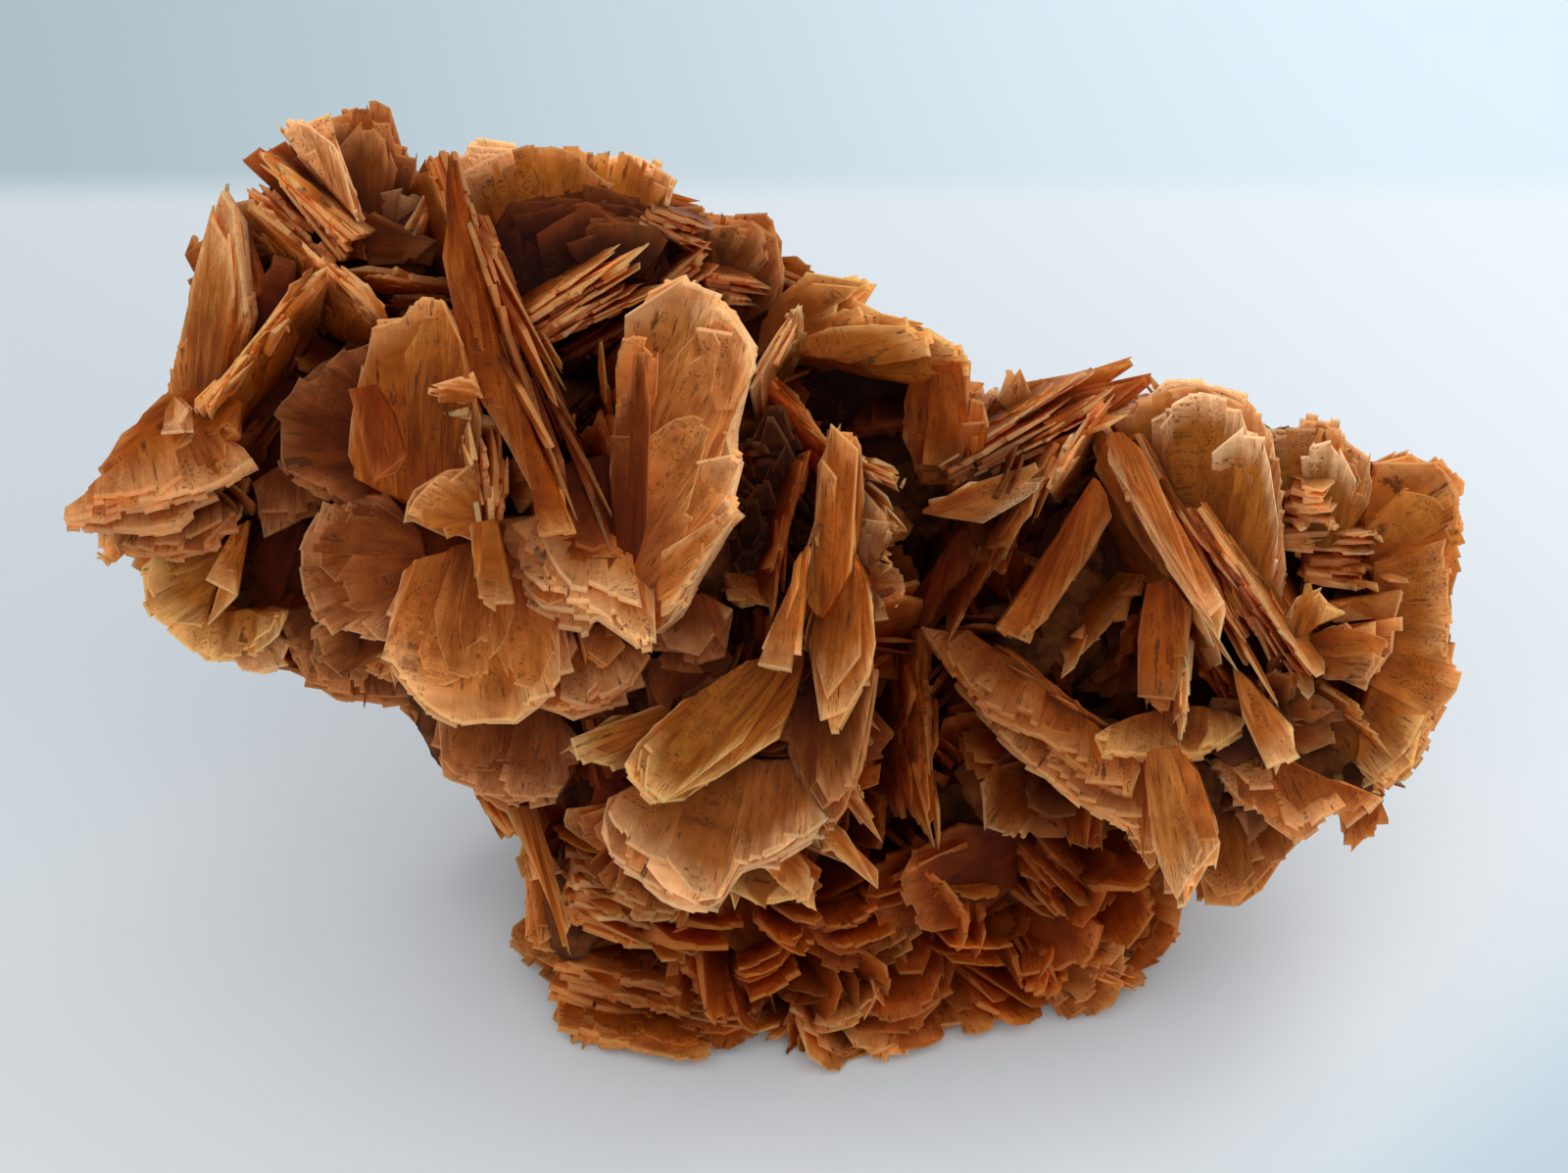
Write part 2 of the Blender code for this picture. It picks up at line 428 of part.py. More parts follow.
def anticlockwise(outline):
    """Positive for an outline whose corners run anticlockwise."""
    following = outline[1:] + outline[:1]
    return sum(a[0] * b[1] - b[0] * a[1] for a, b in zip(outline, following))


def add_book(bm, root, tip, facing, breadth, stack, spread):
    """Parallel blades seen on their rims, fanned out from the root, as a few thick leaves."""
    start = placed(*root)
    along = placed(*tip) - start
    grain = along.normalized()
    normal = direction(*facing)
    normal = (normal - normal.dot(grain) * grain).normalized()
    backwards = grain.cross(normal)
    if backwards.dot(direction(0, 0, 1)) > 0:
        backwards.negate()
    leaves = min(1 + int(spread), LEAVES_MOST)
    thickness = max(stack / leaves, BLADE_LEAST) * MM
    for leaf in range(leaves):
        place = (leaf + 0.5) / leaves - 0.5
        shift = normal * (place * (stack * MM - thickness) if leaves > 1 else 0)
        turn = Matrix.Rotation(place * spread * MM / along.length, 3, backwards.cross(grain).cross(grain))
        corners = []
        for share, depth in LEAF:
            flat = along * share + backwards * depth * breadth * MM
            corners.append(start + shift + turn @ flat + normal * thickness / 2)
        if (corners[1] - corners[0]).cross(corners[-1] - corners[0]).dot(normal) < 0:
            corners.reverse()
        add_slab(bm, corners, thickness)


def add_radiating_blades(bm, rng, middle, reach, count):
    """Blades that radiate from a heart in every direction, evenly spaced by the golden angle."""
    golden = math.pi * (3 - math.sqrt(5))
    for number in range(count):
        out = 1 - 2 * (number + 0.5) / count
        ring = math.sqrt(1 - out * out)
        turn = golden * number
        way = (ring * math.cos(turn), ring * math.sin(turn), out)
        depth_reach = reach[2] if out > 0 else reach[3]
        far = (way[0] * reach[0], way[1] * reach[1], way[2] * depth_reach)
        start = placed(*(m + HEART_START * f for m, f in zip(middle, far)))
        tip = placed(*(m + rng.uniform(0.88, 1.0) * f for m, f in zip(middle, far)))
        breadth = rng.uniform(0.65, 1.0) * (tip - start).length
        add_petal(bm, rng, start, tip, breadth, rng.uniform(1.4, 2.4) * MM)


def add_petal(bm, rng, start, tip, breadth, thickness):
    """A blade that widens from its root to a chiselled tip, turned at random about its own length."""
    along = tip - start
    grain = along.normalized()
    aside = grain.orthogonal().normalized()
    aside.rotate(Matrix.Rotation(rng.uniform(0, math.pi), 3, grain))
    petal = ((0, -0.3), (0.72, -0.5), (0.95, -0.3), (1, 0.1), (0.82, 0.5), (0, 0.3))
    corners = [start + along * share + aside * side * breadth for share, side in petal]
    add_slab(bm, corners, thickness)


def add_base_crust(bm, rng):
    """Rings of small blades that lean out round the base."""
    for height, count in BASE_RINGS:
        for number in range(count):
            turn = 2 * math.pi * (number + rng.uniform(-0.3, 0.3)) / count
            outwards = Vector((math.cos(turn), math.sin(turn), rng.uniform(-0.3, 0.5)))
            narrow = math.sqrt(max(0.1, 1 - (height / 24) ** 2))
            foot = in_part_axes((
                BASE_MIDDLE[0] + 0.72 * narrow * BASE_REACH[0] * math.cos(turn),
                BASE_MIDDLE[1] + 0.72 * narrow * BASE_REACH[1] * math.sin(turn),
                height,
            ))
            length, breadth, thickness = (side * rng.uniform(0.8, 1.1) * MM for side in BASE_BLADE)
            add_petal(bm, rng, foot, foot + outwards.normalized() * length, breadth, thickness)


def add_core(bm, rng):
    """The lumpy mass that every crystal is rooted in."""
    leaning = Matrix((direction(1, 0, 0), direction(0, 1, 0), direction(0, 0, 1))).transposed()
    lumps = [
        Matrix.Translation(placed(*middle)) @ leaning.to_4x4() @ Matrix.Diagonal((*radii, 1))
        for middle, radii in CORE
    ]
    middle, radii = BASE_MASS
    lumps.append(Matrix.Translation(in_part_axes(middle)) @ Matrix.Diagonal((*radii, 1)))
    for shape in lumps:
        lump = bmesh.ops.create_icosphere(bm, subdivisions=1, radius=LUMP_RADIUS * MM, matrix=shape)
        for vert in lump["verts"]:
            vert.co += Vector(rng.uniform(-0.5, 0.5) * MM for _ in range(3))


def new_object(name, bm, collection):
    mesh = bpy.data.meshes.new(name)
    bm.to_mesh(mesh)
    bm.free()
    obj = bpy.data.objects.new(name, mesh)
    collection.objects.link(obj)
    return obj


def barite_material():
    material = bpy.data.materials.new("honey barite")
    material.use_nodes = True
    shader = material.node_tree.nodes["Principled BSDF"]
    shader.inputs["Base Color"].default_value = (0.42, 0.17, 0.05, 1)
    shader.inputs["Roughness"].default_value = 0.42
    shader.inputs["Metallic"].default_value = 0
    return material


def ground_cutter(collection):
    """The block below z = 0 that leaves the flat underside."""
    bm = bmesh.new()
    block = Matrix.Translation((0, 0, -30 * MM)) @ Matrix.Diagonal((200, 200, 60, 1))
    bmesh.ops.create_cube(bm, size=MM, matrix=block)
    cutter = new_object("ground_cutter", bm, collection)
    cutter.hide_render = True
    cutter.display_type = "WIRE"
    return cutter


def outer_shell(bm):
    """Removes the small pockets that the blades close off, which are solid crystal in the part."""
    unseen = set(bm.faces)
    shells = []
    while unseen:
        shell = [unseen.pop()]
        for face in shell:
            for edge in face.edges:
                for other in edge.link_faces:
                    if other in unseen:
                        unseen.remove(other)
                        shell.append(other)
        shells.append(shell)
    shells.sort(key=len)
    for shell in shells[:-1]:
        bmesh.ops.delete(bm, geom=shell, context="FACES")


def make_cluster(parts, cutters):
    rng = random.Random(SEED)
    bm = bmesh.new()
    for _name, depth, tilt, thickness, outline in BROAD_BLADES:
        add_broad_blade(bm, depth, tilt, thickness, outline)
    for _name, root, tip, facing, breadth, stack, spread in BOOKS:
        add_book(bm, root, tip, facing, breadth, stack, spread)
    for middle, reach, count in HEARTS:
        add_radiating_blades(bm, rng, middle, reach, count)
    add_base_crust(bm, rng)
    add_core(bm, rng)
    bmesh.ops.recalc_face_normals(bm, faces=bm.faces)

    grown = new_object("grown_crystals", bm, cutters)
    cut = grown.modifiers.new("flat underside", "BOOLEAN")
    cut.operation = "DIFFERENCE"
    cut.solver = "EXACT"
    cut.use_self = True
    cut.object = ground_cutter(cutters)
    bpy.context.view_layer.update()
    joined = grown.evaluated_get(bpy.context.evaluated_depsgraph_get())
    bm = bmesh.new()
    bm.from_mesh(joined.to_mesh())
    outer_shell(bm)
    bpy.data.objects.remove(grown)

    cluster = new_object("barite_cluster", bm, parts)
    cluster.data.materials.append(barite_material())
    return cluster


def main():
    for obj in list(bpy.data.objects):
        bpy.data.objects.remove(obj)
    parts = bpy.data.collections.new("barite_specimen")
    cutters = bpy.data.collections.new("cutters")
    for collection in (parts, cutters):
        bpy.context.scene.collection.children.link(collection)
    make_cluster(parts, cutters)


main()
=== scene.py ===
"""The looks of the barite specimen: every crystal as a book of thin, striated, chisel-edged sheets.

The crystals are laid out on a display plane that leans back against the vertical, in millimetres:
across runs along +X, up runs up the plane, and out stands square off its face. The layout is drawn as
it looks from an eye point in front of the plane, where the camera stands.
"""

import math
import random
from collections import defaultdict, namedtuple

import bpy
import numpy as np
from mathutils import Matrix, Vector, noise


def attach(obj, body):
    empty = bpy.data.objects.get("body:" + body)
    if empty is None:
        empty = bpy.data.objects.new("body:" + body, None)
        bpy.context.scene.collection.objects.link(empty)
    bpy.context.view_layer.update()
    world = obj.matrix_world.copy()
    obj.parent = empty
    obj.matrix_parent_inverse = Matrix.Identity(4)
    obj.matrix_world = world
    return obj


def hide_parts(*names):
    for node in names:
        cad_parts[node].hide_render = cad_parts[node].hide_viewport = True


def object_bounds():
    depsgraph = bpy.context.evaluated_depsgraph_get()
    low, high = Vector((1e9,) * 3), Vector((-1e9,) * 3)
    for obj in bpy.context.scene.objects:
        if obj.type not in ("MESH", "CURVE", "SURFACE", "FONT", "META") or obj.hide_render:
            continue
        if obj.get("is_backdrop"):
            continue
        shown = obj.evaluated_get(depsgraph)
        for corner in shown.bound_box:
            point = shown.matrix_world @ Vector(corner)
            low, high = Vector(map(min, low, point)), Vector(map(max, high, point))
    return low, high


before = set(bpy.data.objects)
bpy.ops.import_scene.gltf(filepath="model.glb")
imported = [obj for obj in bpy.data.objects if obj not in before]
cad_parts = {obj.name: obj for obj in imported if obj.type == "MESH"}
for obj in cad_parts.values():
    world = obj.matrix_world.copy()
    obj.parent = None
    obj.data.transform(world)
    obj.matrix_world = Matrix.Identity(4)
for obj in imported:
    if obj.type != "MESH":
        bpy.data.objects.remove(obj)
CAD_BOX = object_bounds()

MM = 0.001
LEAN = math.radians(45)  # the display plane's angle to the ground
EYE_DISTANCE = 420.0  # from the display plane's middle to the eye point
PLANE_HEIGHT = 42.4  # the display plane's middle above the ground
CENTRE_ACROSS = -0.43  # the display plane's middle from the middle of the part
CENTRE_BACK = -10.93
SEED = 11  # the radiating blades stand where the frame's own do

IMAGE_WIDTH = 1600
PIXELS_PER_MM = 14.0  # on the display plane
SENSOR_WIDTH = 36.0

# Broad blades that show a face: name, the hub that their grain radiates from as (across, up), depth
# of the middle, tilt across and up (depth gained for each millimetre), thickness of the stack, number
# of sheets, tone, and the outline as (across, up) corners.
Broad = namedtuple("Broad", "name hub depth tilt stack sheets tone outline")
BROAD_BLADES = [Broad(*row) for row in (
    ("left_fin", (-42.5, 0), -8, (0.7, -0.1), 1.6, 3, "light", ((-41.5, 30.2), (-40.8, 29), (-39.9, 27.5),
        (-39.4, 25), (-39.3, 20), (-40.2, 16.5), (-42.5, 13), (-44.9, 14.2), (-44.3, 17), (-43.6, 20.2),
        (-43.8, 21.3), (-42.8, 24), (-41.8, 25.2))),
    ("fin_inner", (-40.5, 5), -9.5, (1.3, 0), 1.2, 2, "rust", ((-40.6, 28), (-39.7, 27.4), (-39.1, 24),
        (-38.7, 21.4), (-40.1, 18), (-41.3, 16), (-41.7, 20))),
    ("top_fan_low", (-30, 23), -9.5, (0.15, -0.3), 1.4, 3, "rust", ((-30.5, 24), (-33, 24.8), (-36.4, 28),
        (-40.1, 31.8), (-38.9, 32), (-37.8, 33.1), (-36.4, 32.4), (-33.6, 29.6), (-31.2, 26.4))),
    ("top_fan_pale", (-31, 24), -8, (0.15, -0.2), 2.4, 5, "peach", ((-31.1, 26.6), (-33.5, 29.5),
        (-36.9, 33.4), (-36.2, 35.1), (-35.2, 34.3), (-33.9, 34.5), (-32.8, 32.8), (-31.9, 30.2))),
    ("top_steps", (-30.5, 22), -12, (0, -0.2), 1.8, 4, "brown", ((-34.6, 33.8), (-32.8, 35), (-29.1, 36.1),
        (-28.6, 34.6), (-28.3, 32.6), (-26.6, 32.1), (-26.9, 29.6), (-28, 27.3), (-31, 26.5), (-33.5, 30))),
    ("top_shard", (-28.6, 22), -9.5, (0.2, -0.1), 0.9, 2, "glass", ((-28.6, 31), (-27.7, 29.4),
        (-26.3, 29.2), (-26.4, 27.9), (-27.8, 26.2), (-29.3, 26.6), (-29.4, 28.6))),
    ("top_saddle", (-36, 26), -9, (0, 0.25), 1.4, 3, "brown", ((-24.5, 24.9), (-27.5, 26.1), (-30, 27.1),
        (-31.4, 26.2), (-31, 24.6), (-30.2, 23.4), (-24.6, 23.6))),
    ("behind_fan", (-39.5, 10), -8, (0.1, 0), 1, 2, "rust", ((-40.6, 17), (-38.8, 21.8), (-37.6, 21.9),
        (-36.6, 25.6), (-35.3, 25), (-35.8, 22), (-38.2, 18.8))),
    ("under_fan", (-37, 12), -9, (0.2, 0), 1, 2, "rust", ((-34.3, 23.4), (-32.6, 22.3), (-33.3, 20.4),
        (-34.9, 17.4), (-36.3, 15), (-37.2, 16.5), (-35.8, 19.8))),
    ("wing_top", (-34, 20), -4.5, (0.25, -0.45), 1.6, 3, "orange", ((-39.5, 13.5), (-42, 14), (-45.2, 14),
        (-47.6, 12), (-49.6, 9.8), (-50.7, 8), (-50.1, 7), (-47, 8.2), (-43.5, 9.8), (-40, 11.5))),
    ("wing_mid", (-50, 26), -3, (0.15, -0.35), 1.4, 4, "pink", ((-38.6, 9.1), (-40, 11), (-44, 11.8),
        (-48, 9.3), (-52.4, 5.8), (-52.6, 4.5), (-49, 5.4), (-46, 5.8), (-43.5, 6.4), (-40.3, 7.6))),
    ("wing_low", (-49, 22), -4.5, (0.1, -0.3), 1, 2, "pink", ((-40.6, 7.7), (-42, 6.6), (-43.9, 4.4),
        (-45.6, 3.7), (-48, 4), (-51.2, 4.4), (-48, 6), (-43, 9))),
    ("wing_shard", (-44.3, 20), -3.4, (0.3, 0), 1.6, 3, "pale", ((-44.2, 14.2), (-45, 13.3), (-45.4, 11.2),
        (-44.9, 10), (-44.2, 11), (-43.6, 13))),
    ("wing_brown", (-42, 20), -6, (0.1, -0.2), 1.2, 3, "brown", ((-39, 8), (-39.6, 5), (-41.4, 2.4),
        (-44, 1.9), (-47.3, 1.8), (-49.7, 3.4), (-47, 5), (-42, 7.5))),
    ("amber_plate", (-36, 6), -9, (0.3, 0.2), 1.4, 3, "amber", ((-40.4, 3), (-43.5, 3.2), (-46.4, 2.3),
        (-47.5, 0.8), (-47.1, -1.3), (-46.2, -3), (-44.3, -3.1), (-42.6, -2.8))),
    ("amber_blade", (-36, 12), -6.5, (0.2, 0), 0.9, 2, "honey", ((-38.8, 5), (-40, 4.4), (-42.9, -2.4),
        (-42.1, -2.8), (-40, -0.6))),
    ("amber_low", (-38, 3), -10, (0.2, 0.3), 1.2, 3, "amber", ((-42.6, -1.8), (-45, -3.1), (-43.5, -4.4),
        (-42.8, -5.6), (-41.6, -6), (-39, -5.4), (-37, -4), (-36.4, -2))),
    ("amber_tip", (-38, 0), -12, (0.2, 0.3), 0.9, 2, "pale", ((-40.3, -5), (-39.8, -6.2), (-38.4, -6.6),
        (-36, -6.1), (-36.2, -4), (-38.5, -3))),
    ("under_wing", (-31, 5), -11, (0.1, 0.35), 1.4, 3, "brown", ((-36.8, -2), (-36.2, -5), (-35, -7.2),
        (-33.8, -8.6), (-31, -9.1), (-28, -9.1), (-25, -8.5), (-26, -4), (-31, -1))),
    ("under_flap", (-27, -2), -12.5, (0, 0.3), 1, 2, "brown", ((-28, -8.8), (-26.9, -10.2), (-26.3, -11.6),
        (-24.6, -11.7), (-24, -8), (-26.5, -7.5))),
    ("fan_floor", (-37, -6), -12.5, (0, 0), 1.2, 3, "rust", ((-41.6, 17.5), (-37, 19), (-33.4, 16),
        (-33.4, 9), (-38, 7.4), (-41.6, 9.4))),
    ("long_lens", (-26, 48), -0.8, (0.5, -0.16), 1, 2, "orange", ((-24.4, 31.8), (-24.9, 24.1), (-24, 18),
        (-22.2, 13.4), (-19.6, 8.8), (-16.8, 5.2), (-15.6, 4.2), (-18.2, 10.5), (-20.4, 16), (-22.1, 21.5),
        (-23.5, 27.4))),
    ("pocket_floor", (-36, 8), -13, (0.1, 0.2), 1, 2, "rust", ((-42.2, -2), (-36, -4), (-33.5, 0),
        (-34.5, 5.5), (-39, 5))),
    ("face_high", (-28, 11), -5, (0.15, -0.1), 1.2, 3, "brown", ((-29.5, 18), (-33.3, 17), (-35.6, 15),
        (-37.8, 12.8), (-36.3, 11.3), (-37.3, 9), (-36, 7.6), (-31, 5.6), (-28.5, 10))),
    ("face_mid", (-35, 14), -6.2, (0.1, 0), 0.9, 2, "brown", ((-38.7, 7.6), (-38.5, 4.5), (-38.2, 3.4),
        (-36.2, 4.5), (-33.4, 5.2), (-32.4, 7), (-36, 9))),
    ("pink_plate", (-24, 2), -2.8, (0.2, -0.05), 1.4, 4, "dirty", ((-33.8, 6), (-35, 4.2), (-35.7, 2.6),
        (-35.2, 1), (-35.6, -0.5), (-34.9, -1.8), (-34, -3.1), (-29, -4.1), (-26, -2), (-26.5, 4),
        (-29, 6.8))),
    ("front_plate", (-21, 12), 0, (0, -0.15), 1.5, 4, "light", ((-28.9, -1.5), (-29.3, -4.9), (-27.6, -7.4),
        (-25.9, -9.3), (-24, -10.2), (-21.6, -9.9), (-19.8, -10.1), (-17.5, -8.4), (-16.1, -6.7),
        (-14.9, -4.5), (-16.5, 0.5), (-22.5, 3.4), (-27, 2))),
    ("front_low", (-15.5, 4), -1.6, (0, -0.15), 1.1, 3, "pink", ((-18.4, -8.4), (-15.9, -9.6),
        (-14.1, -9.6), (-13.3, -8.7), (-11.9, -8.9), (-10.6, -7.2), (-9.8, -5), (-12, -3), (-16.5, -4))),
    ("front_small", (-13, 2), -0.6, (0, -0.1), 0.8, 2, "orange", ((-15.2, -5), (-13, -6.4), (-11.6, -4.2),
        (-12.8, -2.6), (-15, -3))),
    ("left_small", (-21, 5), 0.3, (0.1, 0), 0.9, 2, "honey", ((-28.1, 5), (-26.9, 7.3), (-25.7, 8.1),
        (-22.6, 8.6), (-22.2, 3.2), (-25.4, 3.4), (-27.4, 4.2))),
    ("lath_low", (-21.8, 10), 1.5, (0.25, 0), 0.8, 2, "honey", ((-22.9, 4.5), (-22.5, 0), (-21.7, -2),
        (-20.1, -1.8), (-20.2, 2), (-21, 5))),
    ("stepped_stack", (-26.6, -14), -1.5, (0.1, -0.1), 2.4, 6, "honey", ((-30.5, 19.1), (-28, 19.6),
        (-27.8, 21), (-24.4, 21.1), (-23.4, 18), (-22, 12.5), (-22.6, 8), (-27, 6), (-31.4, 8), (-31.6, 12),
        (-31.3, 14), (-30.7, 16.5))),
    ("stack_dark", (-29, 34), -0.7, (0.1, -0.1), 0.8, 2, "rust", ((-31.7, 14.4), (-29.8, 14.9),
        (-28.4, 12.6), (-27.6, 9.6), (-28.6, 6.6), (-30.8, 7.6), (-31.7, 11))),
    ("stack_low", (-24, 26), -3.4, (0.1, -0.1), 1.2, 3, "orange", ((-30.6, 8.6), (-27, 9.4), (-22.4, 9),
        (-20.4, 4), (-21, -1), (-24, -3), (-28, -2.6), (-30.4, 2))),
    ("left_wedge", (-21, 13.5), 0.2, (0, 0.1), 0.8, 2, "honey", ((-26.9, 12.8), (-25.6, 14.9),
        (-22.6, 15.5), (-22, 13.9), (-25, 13))),
    ("rose_right", (-18.5, -11), 1.5, (0.35, -0.05), 2, 4, "glow", ((-8.2, 22.8), (-7, 23.1), (-6.6, 21.4),
        (-6, 21.9), (-4, 20.2), (-2.3, 17.6), (-2.4, 15.8), (-4.1, 10.3), (-3, 8.5), (-4, 6.8), (-3.3, 5.6),
        (-6.2, 1.3), (-7.4, -1.4), (-9.6, -3.4), (-11.4, 1), (-12, 8), (-12.2, 16), (-11.6, 19.8),
        (-9.8, 22))),
    ("rose_streaks", (-12.4, -22), 0.7, (0.3, 0), 0.8, 2, "spine", ((-12.7, 12), (-12.1, 14.4), (-11.4, 14),
        (-11, 18.2), (-10.1, 17), (-9.9, 10), (-10.4, 3), (-11.2, 0.6), (-12.3, 3))),
    ("rose_outer", (-14.5, 14), 0, (0.1, -0.4), 1.2, 3, "light", ((-21.6, 4.8), (-20.4, 2.4), (-19.4, 0.4),
        (-18.6, -1.8), (-17, -1.9), (-15.8, -2.8), (-14.8, -3.4), (-13.2, -2.6), (-11.5, 2), (-16, 5.5))),
    ("rose_inner", (-13.5, 12), 1.2, (0.05, -0.4), 1.2, 3, "light", ((-19.8, 4.6), (-17.4, 0.6),
        (-15.4, -1.3), (-13.2, -2.3), (-11.4, -3.8), (-9, -4.9), (-8.4, -3.2), (-9.6, 2), (-15, 5.5))),
    ("rose_bowl", (-13.5, 16), -0.8, (0.05, -0.5), 1.1, 3, "rust", ((-19.2, 7.4), (-17.2, 3.2), (-14, 0.9),
        (-11.2, 0.4), (-10.6, 5), (-11.5, 10), (-15.5, 9))),
    ("rose_tail", (-8, 6), -1.6, (0, -0.1), 1.2, 3, "dirty", ((-10, -3.6), (-8.4, -5), (-6.4, -5.6),
        (-4.4, -5.1), (-3.2, -3), (-3.8, -1.6), (-6, -0.4), (-9.4, -1))),
    ("rose_under", (-6, 2), -3.2, (0, -0.1), 0.9, 2, "brown", ((-9.2, -5.2), (-8, -6.3), (-7, -7),
        (-5, -6.9), (-2.9, -6.2), (-4, -4.4), (-8, -4))),
    ("back_crown", (-15.5, 14), -12, (0, -0.1), 1.8, 5, "crown", ((-24.6, 31.2), (-24, 33), (-20, 32.7),
        (-15.2, 32.4), (-13.4, 31.7), (-11.2, 32.4), (-9, 31.2), (-8, 30.6), (-8.1, 28.6), (-9.5, 24),
        (-16, 20.5), (-22, 21), (-24, 27))),
    ("back_brown", (-6, 12), -12.5, (0, -0.1), 1.4, 4, "brown", ((-8.6, 28.6), (-6, 27.6), (-4.8, 28),
        (-4, 27.4), (-1, 27.5), (0, 25), (0.1, 22.5), (-0.4, 20.4), (-4, 18.5), (-9, 20))),
    ("inner_back", (-12.5, 18), -8.5, (0, -0.2), 1, 3, "dark", ((-15.6, 24.4), (-14.4, 26.4), (-13, 27.4),
        (-11.4, 26.6), (-9.8, 27.4), (-8.4, 25.4), (-10, 22.6), (-14, 22.4))),
    ("hollow_plate", (-2.5, -8), -6, (0.2, 0), 1.4, 5, "mosaic", ((-4.4, 10.4), (-2.2, 12.6), (0.6, 11.5),
        (0.9, 6), (0.4, 0), (-1.5, -2), (-6, -1.2), (-6.6, 1), (-4.6, 4))),
    ("fan_top", (3.4, -12), -1, (0.25, -0.2), 1.2, 3, "honey", ((2.5, 10.6), (3.3, 12.3), (4.1, 12.7),
        (5.3, 10.8), (5.7, 7.6), (5.2, 4), (4.4, 0), (2.6, -2.5), (1.6, 0), (2.4, 6))),
    ("fan_right", (3.5, 16), 0, (0.25, -0.15), 1.1, 3, "honey", ((4.8, 3.6), (6.3, -0.4), (6.6, -4.8),
        (6.2, -6.8), (4.9, -8.5), (4, -10.6), (3.1, -10.9), (2, -8.5), (1.8, -4), (3.4, 1))),
    ("fan_lath", (2.4, 14), 1.4, (0.3, -0.1), 1.6, 3, "light", ((1.6, 3), (1.1, -0.5), (-0.3, -4.6),
        (-1.9, -7), (-1.9, -5.6), (-0.6, -2), (0.7, 1.6))),
    ("fan_glass", (5.5, -4), -1.6, (0.2, -0.1), 0.8, 2, "glass", ((4.8, 3), (6.2, 1.2), (7.7, 3.5),
        (7.6, 5.2), (6.4, 6), (5.4, 7.6), (4.6, 6))),
    ("fan_nub", (6, 4), -0.6, (0.1, 0), 0.9, 2, "glass", ((5.8, 0.4), (6.8, -0.4), (7.3, -1.4), (6.6, -2.8),
        (5.6, -2.6))),
    ("ridge_top", (-10, 14), -11, (0.05, -0.35), 1.8, 5, "gold", ((-0.9, 20.9), (1.6, 22.9), (3.8, 22.3),
        (5.2, 23), (7.2, 22.7), (4.6, 20.5), (10.6, 19.4), (13.9, 17), (13.4, 15.4), (9, 15.2), (3, 16.6),
        (-2, 16.8))),
    ("ridge_side", (10.5, 26), -10, (0.3, 0.1), 1.2, 3, "orange", ((9.2, 16), (13.3, 16.4), (13.2, 14),
        (14, 10), (12.4, 7.5), (9.4, 7.4), (8.6, 11))),
    ("ridge_spine", (14, 2), -8.5, (0.5, 0), 0.8, 2, "orange", ((13.9, 14.5), (14.4, 13), (14.3, 10),
        (13.3, 9.4), (13.1, 12.8))),
    ("hollow_back", (4, 22), -17, (0, 0.2), 1.4, 3, "dark", ((-1.5, 17), (9.8, 16.2), (10.8, 8), (6, 6.5),
        (2.5, 8), (-1, 11))),
    ("long_top", (6, 7), -13.5, (0, -0.3), 1.2, 3, "orange", ((13.4, 10.6), (15.4, 13.9), (18, 15.1),
        (22.3, 16.4), (26.9, 17.8), (25.4, 16), (22, 14), (17, 11.4))),
    ("long_top_low", (6, 6), -12, (0, -0.3), 1.2, 3, "rust", ((14, 9.8), (18, 12.7), (22, 14.7), (25, 15.7),
        (27.6, 16), (26.6, 14.6), (22.5, 12), (17, 9.6))),
    ("upper_knob", (17, 8), -12, (0, -0.2), 0.9, 2, "honey", ((15.3, 15.4), (16.1, 15.9), (17.2, 16),
        (17.8, 15.1), (18.8, 12.4), (16.4, 11.8), (15.6, 13.6))),
    ("pale_leaf", (4, 3), -7.5, (-0.1, 0.1), 0.9, 2, "pale", ((9.8, 5.4), (12, 6.8), (15, 8.1), (19.6, 9.5),
        (18.6, 7), (16.2, 5), (14.4, 4.6), (12, 4.9))),
    ("left_shade", (15, 12), -13, (0.25, 0.1), 1.4, 4, "rust", ((15.6, 7), (12.4, 3.6), (10.2, 0.4),
        (8.2, -2.4), (7.1, -3.7), (7.6, -6.8), (8.8, -6.8), (12, -1), (17, 3))),
    ("long_slab", (22, 20), -6, (0.13, -0.33), 1.3, 3, "light", ((23.4, 11.4), (25, 11), (26.6, 9.3),
        (28.2, 5.7), (29.6, 2.9), (31.4, 0), (32.7, -2.9), (33, -4.4), (32.4, -4.7), (31.1, -2.9),
        (28.9, 0), (27.1, 2.9), (25, 6.4), (23.6, 9.3))),
    ("hollow_floor", (26, 30), -16.5, (0, 0), 1, 2, "rust", ((17.6, 1), (19.6, 5.6), (25, 6.8), (29, 4),
        (29.4, -6), (24, -9), (18.4, -5.6))),
    ("diag_front", (25, 14), -8, (-0.15, 0.1), 1.2, 3, "orange", ((23.9, 5.2), (23, 2.8), (21.7, 1),
        (20.2, -1.2), (18.1, -3.7), (16.3, -4), (15.6, -3), (18, 0), (21.2, 5.6), (22.8, 8))),
    ("long_face", (21, 22), -8.5, (0.5, 0.15), 1.2, 3, "orange", ((22.6, 11.5), (25, 9), (28.2, 3.6),
        (30.4, -0.4), (32.6, -4.6), (29.6, -1.6), (26.6, 1.6), (24, 5.4), (22.6, 8.6))),
    ("pale_back", (30, -14), -11.5, (0, -0.1), 1.8, 5, "crown", ((23.4, 12.4), (27.2, 14.5), (28.2, 15.4),
        (30.2, 15.5), (34.1, 14.2), (35.2, 12.4), (36.4, 9.2), (36.7, 0), (36, -2.4), (33, -1), (29.4, 3.4),
        (26.4, 9))),
    ("right_back", (36, -8), -14, (0, -0.1), 1.6, 4, "crown", ((35, 11.4), (37, 12.1), (38, 12.9),
        (39.6, 13), (41.4, 11), (43.3, 9.7), (42.6, 6), (40.4, 3), (35.6, 3))),
